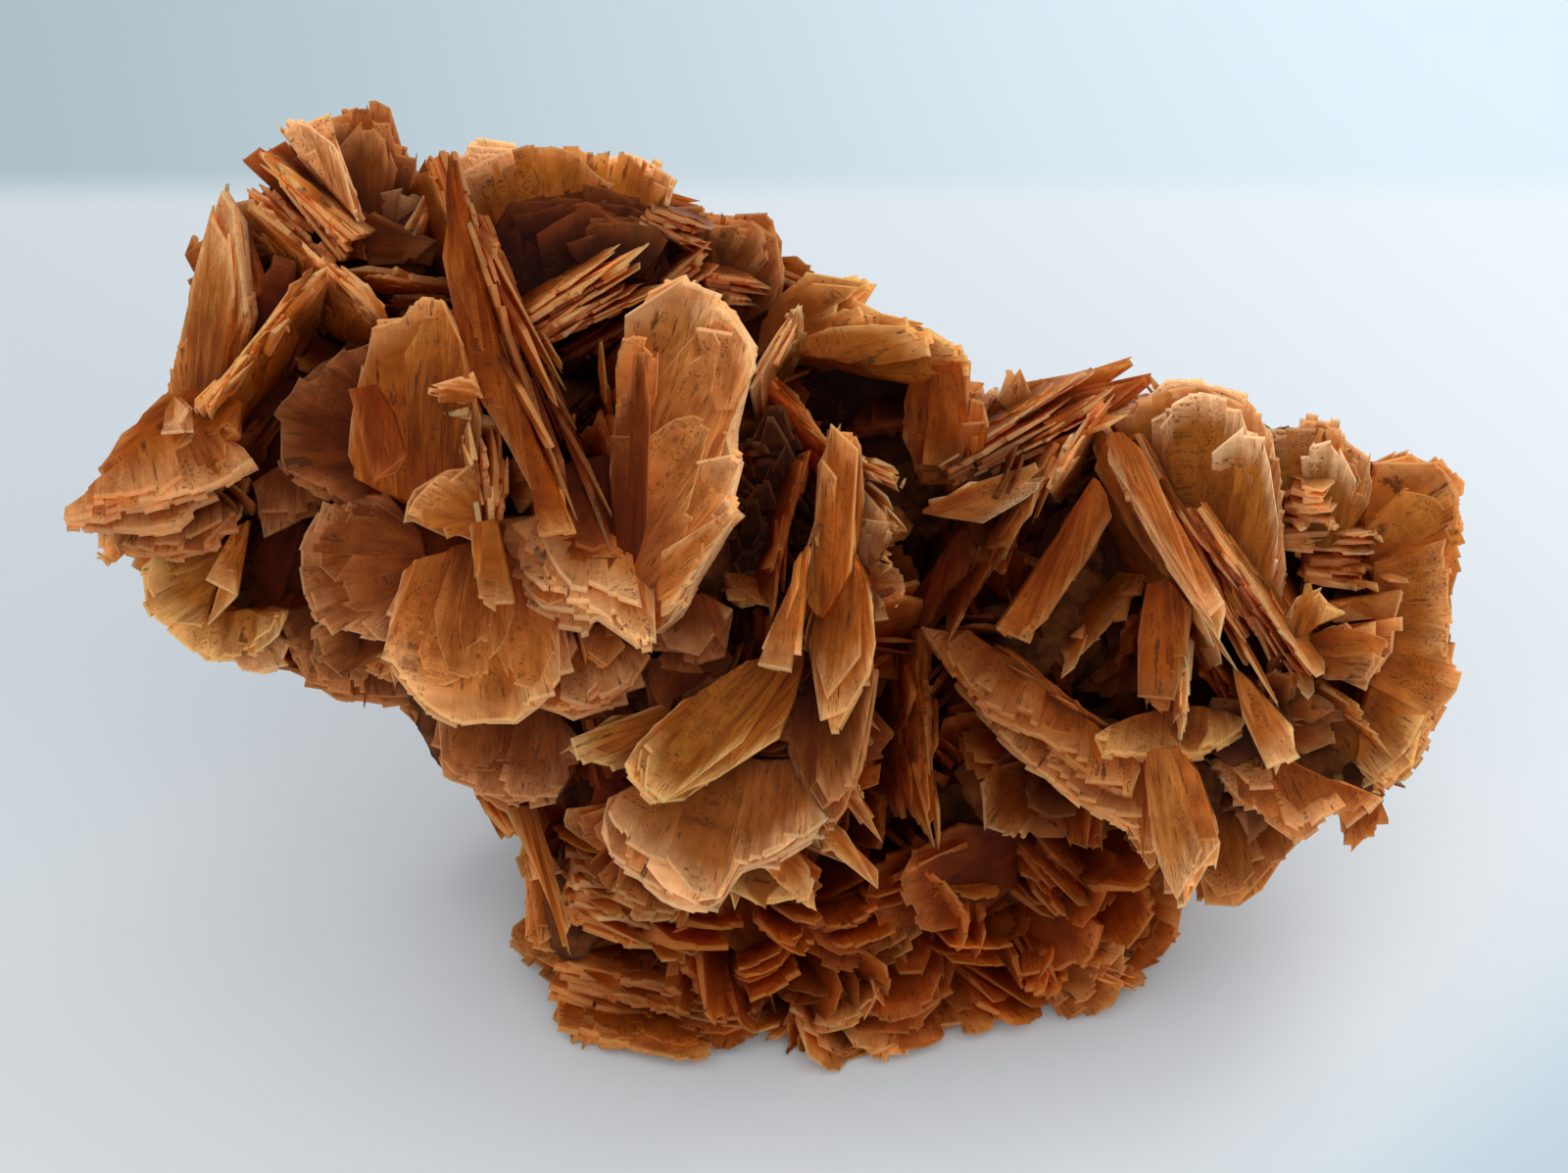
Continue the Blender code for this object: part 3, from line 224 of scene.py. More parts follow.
    ("right_edge", (34, -3), -15, (-0.25, 0), 1.8, 5, "honey", ((43.4, 9), (46, 10.4), (48.4, 9.3),
        (50.2, 7.8), (49.8, 5), (50.2, 4.4), (48.9, 0), (49.2, -5.6), (49.8, -6.6), (48.2, -10),
        (47.4, -12.2), (44, -15.4), (41.4, -13), (42.6, -6), (42.8, 2), (42, 6))),
    ("glass_triangle", (36, -9), -9, (0.1, -0.1), 1, 2, "gold", ((38.3, 1), (39.3, -0.1), (40.8, -2),
        (38.8, -2.8), (36.4, -4.3), (36, -3.2), (37.2, -1))),
    ("right_leaf_a", (34, 0), -12.5, (0, 0.2), 1, 2, "honey", ((39, -1.4), (42, -0.6), (45, -0.4),
        (44.8, -1.6), (42.4, -2.7), (40, -2.6))),
    ("right_leaf_b", (33, -4), -11.5, (0, 0.15), 1.4, 4, "honey", ((36.6, -4.8), (40, -3), (43, -2.6),
        (45.2, -2.4), (44.4, -5), (42.4, -7.7), (40.8, -7), (38, -6))),
    ("right_leaf_c", (30, -8), -12.5, (0, 0.1), 1.6, 5, "honey", ((33.4, -6.6), (37, -7.6), (40.8, -7.9),
        (42.2, -10), (38, -10.4), (35, -10.6), (33.4, -9))),
    ("long_low", (25, 6), -8.5, (0, -0.25), 1.6, 4, "orange", ((10.1, -2.9), (13.6, -3.3), (18, -6.5),
        (22.4, -9.8), (26, -13), (26, -15.3), (23, -14.4), (18.6, -11), (14.6, -9.4), (12, -6.2))),
    ("long_low_rim", (27, 2), -9.5, (0, -0.25), 1.4, 4, "honey", ((14.2, -8.8), (16.5, -11.7), (20, -14.6),
        (23, -16.6), (25.6, -17.9), (27.6, -17), (26.6, -14), (21, -11), (17, -7.6))),
    ("pale_step", (28, 12), -7.5, (0, -0.3), 1.4, 4, "gold", ((22.6, -12.3), (22.7, -10.8), (26, -9.2),
        (30, -8.7), (34.2, -8.9), (33.4, -10.8), (30.4, -12.5), (26, -12.4))),
    ("down_face", (27.5, 8), -7, (0.3, 0.05), 1.1, 3, "orange", ((26.4, 0.2), (28, 0.5), (29.6, -1.5),
        (29.2, -6), (28, -9.6), (27.4, -10), (25.9, -8.8), (25.7, -5), (26.2, -2))),
    ("down_pale", (27.5, 2), -7.5, (0.15, 0.1), 1.5, 4, "light", ((26.4, -12), (28.6, -11.6), (30.2, -13.6),
        (31.7, -18.7), (31.5, -20.7), (30, -20.8), (29.9, -23.2), (28.3, -23.8), (27, -20.4), (26.4, -16))),
    ("down_left", (25, 2), -8.4, (0.15, 0.1), 1.3, 3, "honey", ((23.4, -12.4), (26.8, -11.6), (27.8, -15),
        (27.6, -20), (26.4, -21), (24.6, -17.6), (23, -15))),
    ("bright_lath", (31, 0), -6, (0.2, -0.1), 1, 2, "light", ((32.6, -5.6), (34.4, -7.2), (36.2, -9.2),
        (37.6, -12), (36.3, -14.3), (34.4, -12.4), (33.4, -9.4))),
    ("low_right", (32, -4), -10, (0, -0.1), 1.4, 4, "pink", ((31.2, -12.6), (34, -11.2), (38.5, -13.6),
        (43.6, -15.4), (40, -16.8), (38.3, -18.9), (36.4, -18.4), (34.6, -16.6), (32.6, -15.6))),
    ("right_translucent", (36, -4), -14, (0, 0.1), 1.2, 3, "amber", ((37, -10.6), (42, -9.4), (46.6, -9.4),
        (47.6, -11), (46, -13.4), (43.8, -15.6), (40, -14.6), (37.4, -13))),
    ("right_spike", (42, -8), -17, (0, 0.1), 1.1, 2, "orange", ((40.4, -15.4), (40.6, -17.6), (41.1, -19.9),
        (42.2, -18.8), (44.1, -17), (43.7, -14.8))),
    ("right_under", (32, -10), -17.5, (0, 0.1), 1.4, 3, "orange", ((31, -16), (35.6, -16.8), (37.6, -18.4),
        (35.6, -20.6), (35, -22.2), (32.2, -24), (30.4, -23.4), (29.8, -20))),
    ("gold_plate", (10, 5), 0.5, (-0.05, -0.2), 1.3, 3, "gold", ((1.5, -4.8), (1, -7.5), (-0.3, -10.9),
        (-2.3, -12), (-5.5, -14.6), (-9.4, -16.5), (-11, -15), (-11.9, -12.8), (-8, -9), (-3, -5.6))),
    ("gold_left", (0, -6), -2, (0, 0), 1, 2, "gold", ((-16.5, -12.6), (-15.8, -10.8), (-9, -8.6), (-7, -10),
        (-9.4, -13), (-13, -13.8))),
    ("brown_mid", (-6, 0), -3.4, (0, 0), 0.9, 2, "brown", ((-10.4, -5.2), (-9.9, -9), (-6.6, -10.4),
        (-3, -8), (-4.4, -5.6))),
    ("low_wing", (4, 10), -2, (0.1, -0.1), 1.2, 3, "brown", ((6.8, -6), (6, -12), (5, -15.4), (3.2, -18),
        (0.8, -14), (-0.5, -10), (3, -6))),
    ("low_plate", (4, 14), -2.4, (0, -0.15), 1.5, 4, "pale", ((-12.8, -15.4), (-13.4, -17.7), (-12.5, -20),
        (-10.4, -21.6), (-8, -23.3), (-5.9, -24), (-4.6, -23.4), (-3.6, -20.9), (-0.1, -20), (1.6, -18.8),
        (3.3, -18), (3.8, -15.4), (1, -12.5), (-7, -12.8))),
    ("low_dark", (-8, -10), -14, (0, 0.15), 1.2, 3, "dark", ((-16, -15), (-12, -20.5), (-2, -21), (6, -17),
        (2, -13), (-10, -12))),
    ("spike_long", (-3, -12), -3.2, (0, 0), 0.9, 2, "honey", ((-2.4, -19.6), (-0.8, -21.2), (0.8, -22.9),
        (3, -24.1), (2.2, -21.4), (0.4, -18.8))),
    ("spike_right", (0, -12), -3.2, (0, 0), 0.9, 2, "honey", ((1.6, -17.4), (4.6, -20.4), (7, -22.4),
        (7.3, -21.7), (5.2, -19), (2.6, -16))),
    ("spike_small", (3, -12), -2.2, (0, 0), 0.9, 2, "brown", ((3.4, -14.6), (5.6, -17.4), (7.3, -18.9),
        (6.9, -17.8), (4.6, -13.6))),
    ("under_low", (0, -14), -7, (0, 0), 1, 2, "gold", ((-4.3, -19.6), (-3.8, -23.1), (-1.5, -23.6),
        (1.2, -22.9), (0.6, -19.6))),
    ("dirty_plate", (-20, 0), -7.5, (0, 0.2), 1.4, 3, "dirty", ((-25, -8.6), (-25.6, -12), (-24.8, -14.5),
        (-22.2, -15.4), (-20.4, -17), (-16.6, -16), (-14, -12), (-17, -8.6))),
    ("neck_plate", (-21, -8), -13.8, (0.1, 0.25), 1.2, 3, "honey", ((-20.4, -16.1), (-18.2, -15.9),
        (-16.8, -20), (-15.7, -23.6), (-14.9, -26.8), (-15.4, -27.5), (-16.4, -25.7), (-17.9, -21.4),
        (-19.3, -18.6))),
    ("neck_rind", (-14, -20), -25, (0.2, 0.2), 1.6, 3, "pink", ((-18.6, -20.4), (-19.1, -22.9),
        (-19.2, -25), (-18.6, -26.8), (-17.1, -27.1), (-16.3, -26.1), (-16.2, -23.6), (-16.8, -21.4))),
    ("front_facet", (-9, -10), 3.2, (0.3, -0.05), 0.6, 1, "peach", ((-6, 21.8), (-3.8, 20.2), (-2.1, 17.7),
        (-2.2, 15.8), (-3.1, 13.6), (-4.4, 12.4), (-5.6, 13.4), (-5.6, 16.3), (-6.4, 18.6))),
    ("mid_facet", (-11, -6), 2.8, (0.3, -0.05), 0.6, 1, "peach", ((-4, 10.1), (-2.9, 8.5), (-3.8, 6.7),
        (-5.6, 6.9), (-6.4, 9))),
    ("low_facet", (-14, -4), 3, (0.3, -0.05), 0.6, 1, "light", ((-3.8, 6.7), (-3.2, 5.5), (-4, 4.2),
        (-6.1, 1.5), (-7.6, -1.3), (-9, -2.2), (-9.4, 1.5), (-6.6, 5))),
    ("crown_shade", (-15, 12), -10.4, (0, -0.15), 1.2, 3, "dark", ((-22.3, 22), (-21.6, 26), (-20, 28.4),
        (-18.4, 28), (-16.2, 29), (-14.4, 29.8), (-12.4, 29.2), (-10.6, 28.2), (-8.8, 27.6), (-8.2, 23),
        (-10, 20), (-16, 18.5), (-20.6, 19.6))),
    ("gap_back", (-4, 8), -14, (0, 0), 1.2, 3, "rust", ((-6, 21), (-3, 22), (-0.8, 21), (1, 19), (0.5, 16),
        (-5, 16))),
    ("neck_back", (-16, -14), -18, (0.1, 0.1), 1.2, 3, "orange", ((-18.8, -20), (-19.4, -23.5),
        (-18.6, -26.9), (-16.6, -27.2), (-15, -23), (-16, -19.6))),
)]

# Books of sheets seen on their rims: name, the rim's root and tip as (across, up, out), which way the
# faces look, breadth backwards from the rim, thickness at the root, how much more it fans at the tip,
# number of sheets and tone.
Book = namedtuple("Book", "name root tip facing breadth stack spread sheets tone")
BOOKS = [Book(*row) for row in (
    ("top_fan_book", (-31.4, 24.6, -6.5), (-38.9, 31.7, -7), (0.6, 0.7, 0.3), 5, 3, 3.4, 9, "honey"),
    ("top_lath", (-29.2, 19.8, -5), (-40, 30, -8), (-0.5, -0.55, 0.4), 7, 1.2, 0.8, 3, "honey"),
    ("top_lath_short", (-28.5, 19.5, -4), (-34.3, 24.7, -5), (-0.5, -0.6, 0.3), 4, 0.8, 0.2, 2, "honey"),
    ("top_to_wing", (-42.9, 13.1, -2), (-34, 23.8, -5), (0.65, -0.6, 0.35), 7, 1.4, 3, 7, "honey"),
    ("high_lath", (-23.4, 22.3, -6), (-30.9, 23, -6), (0.05, -0.9, 0.3), 5, 0.9, 0.4, 2, "honey"),
    ("high_lath_low", (-23.4, 20.9, -7), (-30, 21.4, -7), (0, -0.9, 0.3), 5, 0.8, 0.2, 2, "orange"),
    ("saddle_lath", (-27.7, 25.8, -8), (-24.6, 31.2, -9), (0.7, -0.4, 0.4), 4, 0.8, 0.2, 2, "pale"),
    ("wing_spike", (-47, 6.4, -6), (-51.5, 1.5, -5), (0.5, -0.5, 0.6), 2.2, 0.8, 0.2, 2, "pink"),
    ("long_book", (-25, 32, -6), (-15.2, 5, 2.5), (-0.85, -0.35, 0.35), 13, 2.6, 2.2, 8, "spine"),
    ("neck_lath", (-16, -22.4, -14), (-4.6, -25.4, -15.5), (0.1, 0.9, 0.5), 5, 2.2, 1.2, 4, "honey"),
    ("neck_lath_high", (-16, -20.2, -13.4), (-8.5, -21.6, -14.5), (0.1, 0.9, 0.4), 5, 1.6, 0.8, 4, "brown"),
    ("long_book_back", (-22.4, 28, -8), (-13.3, 6.6, -1), (-0.85, -0.35, 0.2), 10, 1.2, 0.8, 4, "orange"),
    ("spear", (-17.8, 11, 0.4), (-16, 4.4, 2), (-0.7, -0.2, 0.6), 5, 0.8, 0.1, 1, "light"),
    ("cross_book", (-18.8, 18.4, -3), (-8.2, 24.4, -4), (-0.48, 0.85, 0.2), 8, 2.6, 3, 8, "honey"),
    ("cross_low", (-16.6, 16.2, -8), (-10.2, 19.6, -7), (-0.4, 0.8, 0.3), 6, 1, 1, 3, "rust"),
    ("left_laths", (-21.6, 4.4, 1), (-22.8, 12, 0), (-0.9, 0, 0.35), 4, 1.4, 0.6, 4, "honey"),
    ("left_laths_in", (-20.5, 5, 1), (-20.8, 12.2, -0.5), (-0.9, 0, 0.4), 4, 1, 0.5, 3, "orange"),
    ("left_needle", (-20.8, 12.4, 0), (-25, 13.1, 0), (0, -0.8, 0.4), 2.5, 0.8, 0.1, 1, "honey"),
    ("hollow_shelf", (-11.2, 11.4, -5), (-15.8, 12.3, -5), (0, -0.7, 0.6), 3, 0.9, 0.1, 2, "orange"),
    ("hollow_edge", (-10.8, 7, -1), (-13.4, 16.8, -3), (-0.8, -0.2, 0.5), 3, 0.9, 0.4, 2, "orange"),
    ("glint_pair", (-2.7, 14.4, -3), (1, 21.2, -5), (0.85, -0.45, 0.3), 6, 0.9, 0.4, 3, "pale"),
    ("glint_pair_low", (-1.7, 15.5, -5), (1.8, 19.2, -6), (0.75, -0.6, 0.3), 4, 0.8, 0.2, 2, "glass"),
    ("glass_step_high", (-10.6, 27, -8.5), (-5.2, 24.8, -8), (0.3, 0.9, 0.2), 4, 1.6, 1.2, 5, "brown"),
    ("glass_step_mid", (-8.6, 21.4, -8), (-4.6, 24.4, -8), (-0.6, 0.75, 0.3), 4, 1.4, 0.8, 4, "brown"),
    ("glass_step_low", (-5.8, 21.9, -8), (-0.8, 20.9, -9), (0.2, 0.95, 0.25), 4, 1.8, 0.8, 5, "brown"),
    ("ledge", (-5.4, -0.7, -3), (-0.8, -1.8, -2), (0, 0.8, 0.5), 3, 0.8, 0.1, 1, "honey"),
    ("cross_edge", (-1.8, 16.2, -7), (5, 8.5, -3), (-0.55, -0.6, 0.45), 6, 1.2, 1, 4, "orange"),
    ("fan_book", (3.4, 6.5, -1), (0, -5.6, 1), (0.9, -0.3, 0.3), 7, 1.2, 1, 4, "orange"),
    ("fan_book_left", (1.8, 10, -3), (-0.9, -1.6, 0), (-0.9, 0.2, 0.35), 7, 0.9, 0.9, 4, "rust"),
    ("shard_high", (4, 10.3, -3), (9.6, 7.4, -2), (-0.3, -0.8, 0.3), 2.4, 0.9, 0.2, 3, "glass"),
    ("shard_mid", (4.4, 9.4, -3), (9.2, 4, -2), (-0.6, -0.6, 0.4), 2.6, 0.8, 0.2, 2, "glass"),
    ("shard_low", (6, 5.2, -2), (8.6, 0.7, -2), (-0.8, -0.3, 0.4), 2, 0.8, 0.1, 1, "honey"),
    ("hollow_lip", (13, 11.4, -12), (4.8, 11, -11), (0, 0.8, 0.5), 5, 1.2, 0.8, 3, "dark"),
    ("bridge_book", (11.6, 7.6, -9), (23.8, 14.3, -9), (-0.42, 0.86, 0.2), 6, 2.4, 2.4, 7, "honey"),
    ("bridge_tip", (19, 7.4, -8), (23.7, 14.4, -8.5), (0.75, -0.5, 0.3), 5, 0.9, 0.3, 2, "light"),
    ("diag_edge", (20.7, 10.6, -9), (15.5, 1.6, -7.5), (-0.75, 0.45, 0.4), 7, 1.3, 1, 4, "orange"),
    ("diag_edge_low", (17, 4.6, -10), (12.7, -3.3, -9), (-0.8, 0.4, 0.35), 6, 1, 1, 3, "rust"),
    ("hollow_lath", (26.9, 0.5, -13), (20.9, -6.2, -9), (-0.6, 0.6, 0.5), 4, 1, 0.4, 3, "honey"),
    ("hollow_lath_right", (27.2, 0, -13), (23.7, -5.4, -11), (0.7, -0.4, 0.5), 3, 0.8, 0.2, 2, "rust"),
    ("long_right", (22.9, 12.8, -11), (32.9, -4.9, -4), (-0.8, -0.45, 0.35), 12, 1.4, 0.6, 4, "light"),
    ("long_right_mid", (25.3, 11.2, -10), (34.4, -6.3, -5), (0.85, 0.45, 0.25), 9, 1, 0.5, 3, "brown"),
    ("long_right_low", (29.4, 5.8, -9), (38.4, -8.1, -7), (0.8, 0.5, 0.35), 9, 1.6, 1.4, 5, "honey"),
    ("low_laths", (29.6, -3, -9), (33, -9.7, -8), (0.7, 0.5, 0.3), 4, 1.2, 0.5, 3, "rust"),
    ("fan_level_a", (35.6, 7.3, -13), (39.1, 6.3, -11), (0, 0.85, 0.45), 4, 0.8, 0.2, 2, "honey"),
    ("fan_level_b", (35.6, 6, -13), (40.1, 5.4, -11.5), (0, 0.85, 0.45), 4, 0.8, 0.2, 2, "honey"),
    ("fan_level_c", (35.8, 4.9, -12.5), (40.5, 4, -11.5), (0, 0.85, 0.45), 4, 0.8, 0.2, 2, "honey"),
    ("fan_level_d", (36, 3, -12), (45.4, 2.8, -13), (0, 0.85, 0.45), 7, 1.2, 0.8, 3, "honey"),
    ("fan_level_e", (37, 1.6, -12.5), (45, 1.2, -13.5), (0, 0.85, 0.45), 7, 0.9, 0.4, 2, "orange"),
    ("fan_level_f", (37.4, 0.6, -12.5), (43.3, -0.5, -12.5), (0, 0.85, 0.45), 6, 0.9, 0.4, 2, "honey"),
    ("down_edge", (29.7, -2.8, -7), (29.3, -12.5, -5.5), (-0.9, 0, 0.35), 5, 1, 0.6, 3, "light"),
    ("low_glints", (15.4, -4, -9), (23.7, -10.4, -7.5), (-0.5, -0.7, 0.35), 6, 1.4, 1.2, 5, "rust"),
    ("strand", (39, -6.2, -12), (45.4, -12.8, -13), (-0.6, -0.6, 0.4), 3, 0.8, 0.1, 1, "orange"),
    ("cleft_laths", (10.6, -3, -12), (10.9, -18.3, -11), (-0.85, 0, 0.45), 5, 1.6, 0.8, 4, "orange"),
    ("cleft_laths_left", (9.4, -2.6, -14), (9.1, -17, -12.5), (-0.85, 0, 0.45), 5, 1.2, 0.5, 3, "rust"),
    ("neck_shelf", (-16.4, -23.6, -15), (-5, -27.4, -17), (0.1, 0.85, 0.5), 6, 2.2, 1.2, 4, "orange"),
    ("gap_shelf", (12.6, -13.6, -19), (20.4, -18.2, -17), (0.3, 0.6, 0.6), 6, 1.2, 0.8, 3, "rust"),
    ("gap_laths", (14.6, -17, -20), (20.8, -24.6, -18), (0.6, 0.5, 0.5), 6, 1.4, 1, 4, "rust"),
    ("gap_curl", (17.4, -17.6, -20), (22.4, -23, -19), (0.6, 0.5, 0.6), 5, 1.2, 0.8, 3, "rust"),
    ("base_book", (-17.4, -29, -25), (-4.8, -32.4, -22.4), (-0.25, 0.8, 0.5), 8, 4, 3.4, 9, "orange"),
    ("base_book_low", (-17.4, -32.6, -24.3), (-5.4, -35.4, -21.8), (-0.25, 0.8, 0.5), 8, 1.8, 0.6, 3,
     "orange"),
    ("base_long", (16.6, -29.4, -27.6), (3.2, -35.4, -22), (-0.35, 0.75, 0.5), 6, 2.2, 0.8, 4, "orange"),
    ("base_long_high", (15, -29, -27), (2.2, -32.6, -24), (-0.3, 0.75, 0.5), 6, 1.6, 0.8, 4, "orange"),
    ("base_mid", (7, -29, -27), (-2.4, -33.4, -23.6), (-0.4, 0.7, 0.5), 6, 1.8, 0.6, 4, "orange"),
)]

# The outline of a book's sheet, from its root (0) to its tip (1) and from its front rim (0) backwards
# (1), and the hub that its strips run out from.
LEAF = ((0, 0), (0.55, -0.02), (0.9, 0.01), (1, 0.12), (0.97, 0.4), (0.78, 0.9), (0.55, 1), (0, 0.85))
LEAF_HUB = (0.1, 1.7)
# The two outlines of a standing blade, from root to tip and across its breadth, and their hub.
PETALS = (
    ((0, -0.25), (0.35, -0.44), (0.66, -0.5), (0.88, -0.3), (1, -0.03), (0.92, 0.26), (0.7, 0.47),
        (0.35, 0.42), (0, 0.25)),
    ((0, -0.3), (0.5, -0.5), (0.84, -0.47), (0.96, -0.22), (1, 0.1), (0.9, 0.42), (0.45, 0.48), (0, 0.3)),
)
PETAL_HUB = (-0.7, 0)

# Where crystals radiate from behind the laid-out ones: the middle as (across, up, out), how far the
# blades reach across, up, out in front and out behind, and how many there are.
HEARTS = (
    ((-17, 11, -18), (18, 18, 7, 18), 14),
    ((-37, 7, -17), (12, 9, 7, 13), 7),
    ((-30, 24, -18), (9, 9, 6, 12), 6),
    ((-6, -8, -16), (10, 10, 5, 14), 6),
    ((8, 7, -23), (11, 11, 4, 13), 7),
    ((28, -2, -24), (17, 15, 8, 15), 13),
    ((41, -3, -22), (8, 12, 6, 12), 6),
)
HEART_START = 0.3  # a radiating blade starts at this share of its reach
HEART_REACH = (0.88, 1.0)  # and ends at this one
HEART_BREADTH = (0.65, 1.0)  # its breadth as a share of its length
HEART_THICKNESS = (1.4, 2.4)

# The mass that the crystals are rooted in, as lumps: the middle as (across, up, out) and the radii
# across, up and out. The last two carry the base, and the base is one lump more, in the part's own axes.
CORE = (
    ((-20, 9, -16), (11, 11, 9)), ((-24, 0, -9), (9, 7, 6.5)), ((-28, 12, -12), (6, 7, 8)),
    ((-7, 4, -9), (4.5, 12, 8)), ((-15, 1, -6), (5, 4, 5)), ((-13, -6, -8), (5, 4, 6.5)),
    ((-4, -9, -8), (8, 6, 6.5)), ((-5, -16, -9), (7, 5, 6)), ((-6, -6, -16), (7, 6, 7)),
    ((-33, 27, -15), (5, 6, 5)), ((-28, 23, -15), (5, 4, 6)), ((-31, 21, -19), (6, 5, 5)),
    ((-41.5, 19, -13), (2.5, 7, 4)), ((-43, 7, -11), (6, 3.5, 6)), ((-42, -1, -14.5), (4.5, 3.5, 4.5)),
    ((-35, 5, -17), (7, 6, 6)), ((-31, -5, -17), (6, 3.5, 5)), ((-22, -9, -13), (6, 6.5, 6.5)),
    ((-15, 27, -18), (8, 4.5, 5)), ((-4, 22.4, -18), (4, 3.6, 5)), ((3.5, -1, -9), (2.5, 9, 7)),
    ((8, 8, -22), (10, 7, 6)), ((7, 17, -16), (6, 2, 4)), ((15, 6.5, -13), (3, 2.5, 5)),
    ((18, 9, -17), (6, 4.5, 5)), ((31, 8, -18), (6, 6.5, 6)), ((39, 7, -18), (5, 5, 4)),
    ((46, -3, -19), (3, 9, 4)), ((27, -3, -24), (12, 11, 8)), ((40, -3, -21), (6, 6, 7)),
    ((18, -4, -17), (7, 5, 7)), ((21, 1, -18), (4, 4, 5)), ((22, -12, -16), (6, 4, 6)),
    ((30, -13, -15.5), (5, 5, 5.5)), ((35, -10, -12), (2.5, 4, 6)), ((38, -13, -17), (6, 3.5, 5)),
    ((33, -19, -21), (3.5, 4, 4)), ((-15.5, -22, -20.5), (3.5, 7, 4.5)), ((-4, -18, -26), (11, 11, 9)),
    ((15, -16, -28), (11, 11, 9)),
)
BASE_MASS = ((5, 13, 0), (20, 16, 21))
BASE_LUMPS = 3
LOBES_MEET = 2  # crystals that lie less far across than this belong to the left lobe
BALL = 0.84  # the core's skin lies at this share of its lumps' radii
SKIN_CELL = 0.9 * MM
SKIN_GRAIN = 2.2 * MM
SKIN_ROUGHNESS = 0.5 * MM
SKIN_FOOT = 0.8 * MM  # how far above the ground it ends

# The large blades round the base: rings of blades, as the height of each ring and its number.
BASE_MIDDLE = (5, 13)
BASE_REACH = (24, 20)
BASE_ROOT = 0.72  # how far out from the middle they are rooted, as a share of the reach
BASE_TOP = 24  # the rings narrow towards this height
BASE_NARROWEST = 0.1
BASE_RINGS = ((1.5, 12), (7, 9), (13, 5))
BASE_STRAY = 0.3  # how far a blade strays along its ring, as a share of the way to the next one
BASE_RISE = (-0.3, 0.5)  # how far it turns down or up
BASE_BLADE = (9, 9, 1.6)  # length, breadth and thickness, each varied by a share
BASE_VARIED = (0.8, 1.1)

# The foot of the base in front and at the sides, where it meets the ground, as (across, up).
FOOTPRINT = (
    (-18.6, -21.4), (-18.2, -25.7), (-17.9, -28.6), (-17.1, -31.4), (-14.3, -33.2), (-10, -34.3),
    (-5.7, -34.4), (0, -33.9), (3.6, -35.7), (7.1, -35), (10, -34.1), (14.3, -33), (17.9, -32),
    (23.6, -30.9), (26.2, -29.4), (28, -27.2), (28.9, -24.6), (28.6, -21.8),
)
# The blades round the foot lie almost flat, with their tips outwards. At each place one stands on the
# ground and two stand higher and farther in.
SKIRT_LOW, SKIRT_MIDDLE, SKIRT_HIGH = 0.4, (3, 5), (6, 9)  # the heights of their tips
SKIRT_INSETS = (-0.8, 1.0, 3.2)  # how far in from the foot they stand
SKIRT_DEEPER = (7, 9)  # how far inwards of its tip a blade is rooted
SKIRT_ASIDE = 2.5  # how far aside of it at the most
SKIRT_HIGHER = (0, 4)
SKIRT_BREADTH = (5, 8)
SKIRT_THICKNESS = (0.9, 2.0)
SKIRT_ROLL = 0.5

# The crust of small blades on the lumps: the area that each has in square mm, how far it strays from
# the outward way, its reach, its breadth as a share of its length, its thickness, and the numbers of
# sheets to choose from, where the thickness doesn't give them.
Crust = namedtuple("Crust", "area stray reach breadth thickness sheets")
BASE_CRUST = Crust(15.3, 0.65, (7.5, 13.0), (0.35, 0.8), (1.4, 3.4), (2, 3, 4))
UPPER_CRUST = Crust(9.0, 0.35, (5.5, 9.0), (0.5, 1.0), (0.7, 1.8), ())
CRUST_COVERED = 0.93  # a place this far out in another lump, as a share of its radius, bears no blade
CRUST_SUNK = 0.95  # and a blade whose tip lies this far out in one is left out
# Crust blades that show in front take the dark tone: painted shade of the hollows that they stand in.
CRUST_FRONT = 0.25  # a blade whose outward way has this share square off the display plane shows, and
CRUST_SHORTER = 0.65  # is shorter and dark
CRUST_LOWEST = 1.0 * MM  # no blade grows from a place lower than this
CRUST_ROOT = 2.5  # how deep under the lump's surface it starts
CRUST_LEAST = 2.6  # the shortest that is kept
CRUST_FOOT = (0.4, 1.4)  # the least height of its tip
CRUST_TONES = ("rust", "orange", "brown", "rust", "honey")
HIDDEN_ROOM = 0.4  # between a hidden crystal and the broad blade in front of it
DRAWN_BACK = 0.87  # the share of its length that a blade keeps each time that it is drawn back
DRAWN_TIMES = 10  # how often at the most
OUTLINE_MARGIN = 1.3  # how far inside the specimen's outline its tip has to lie
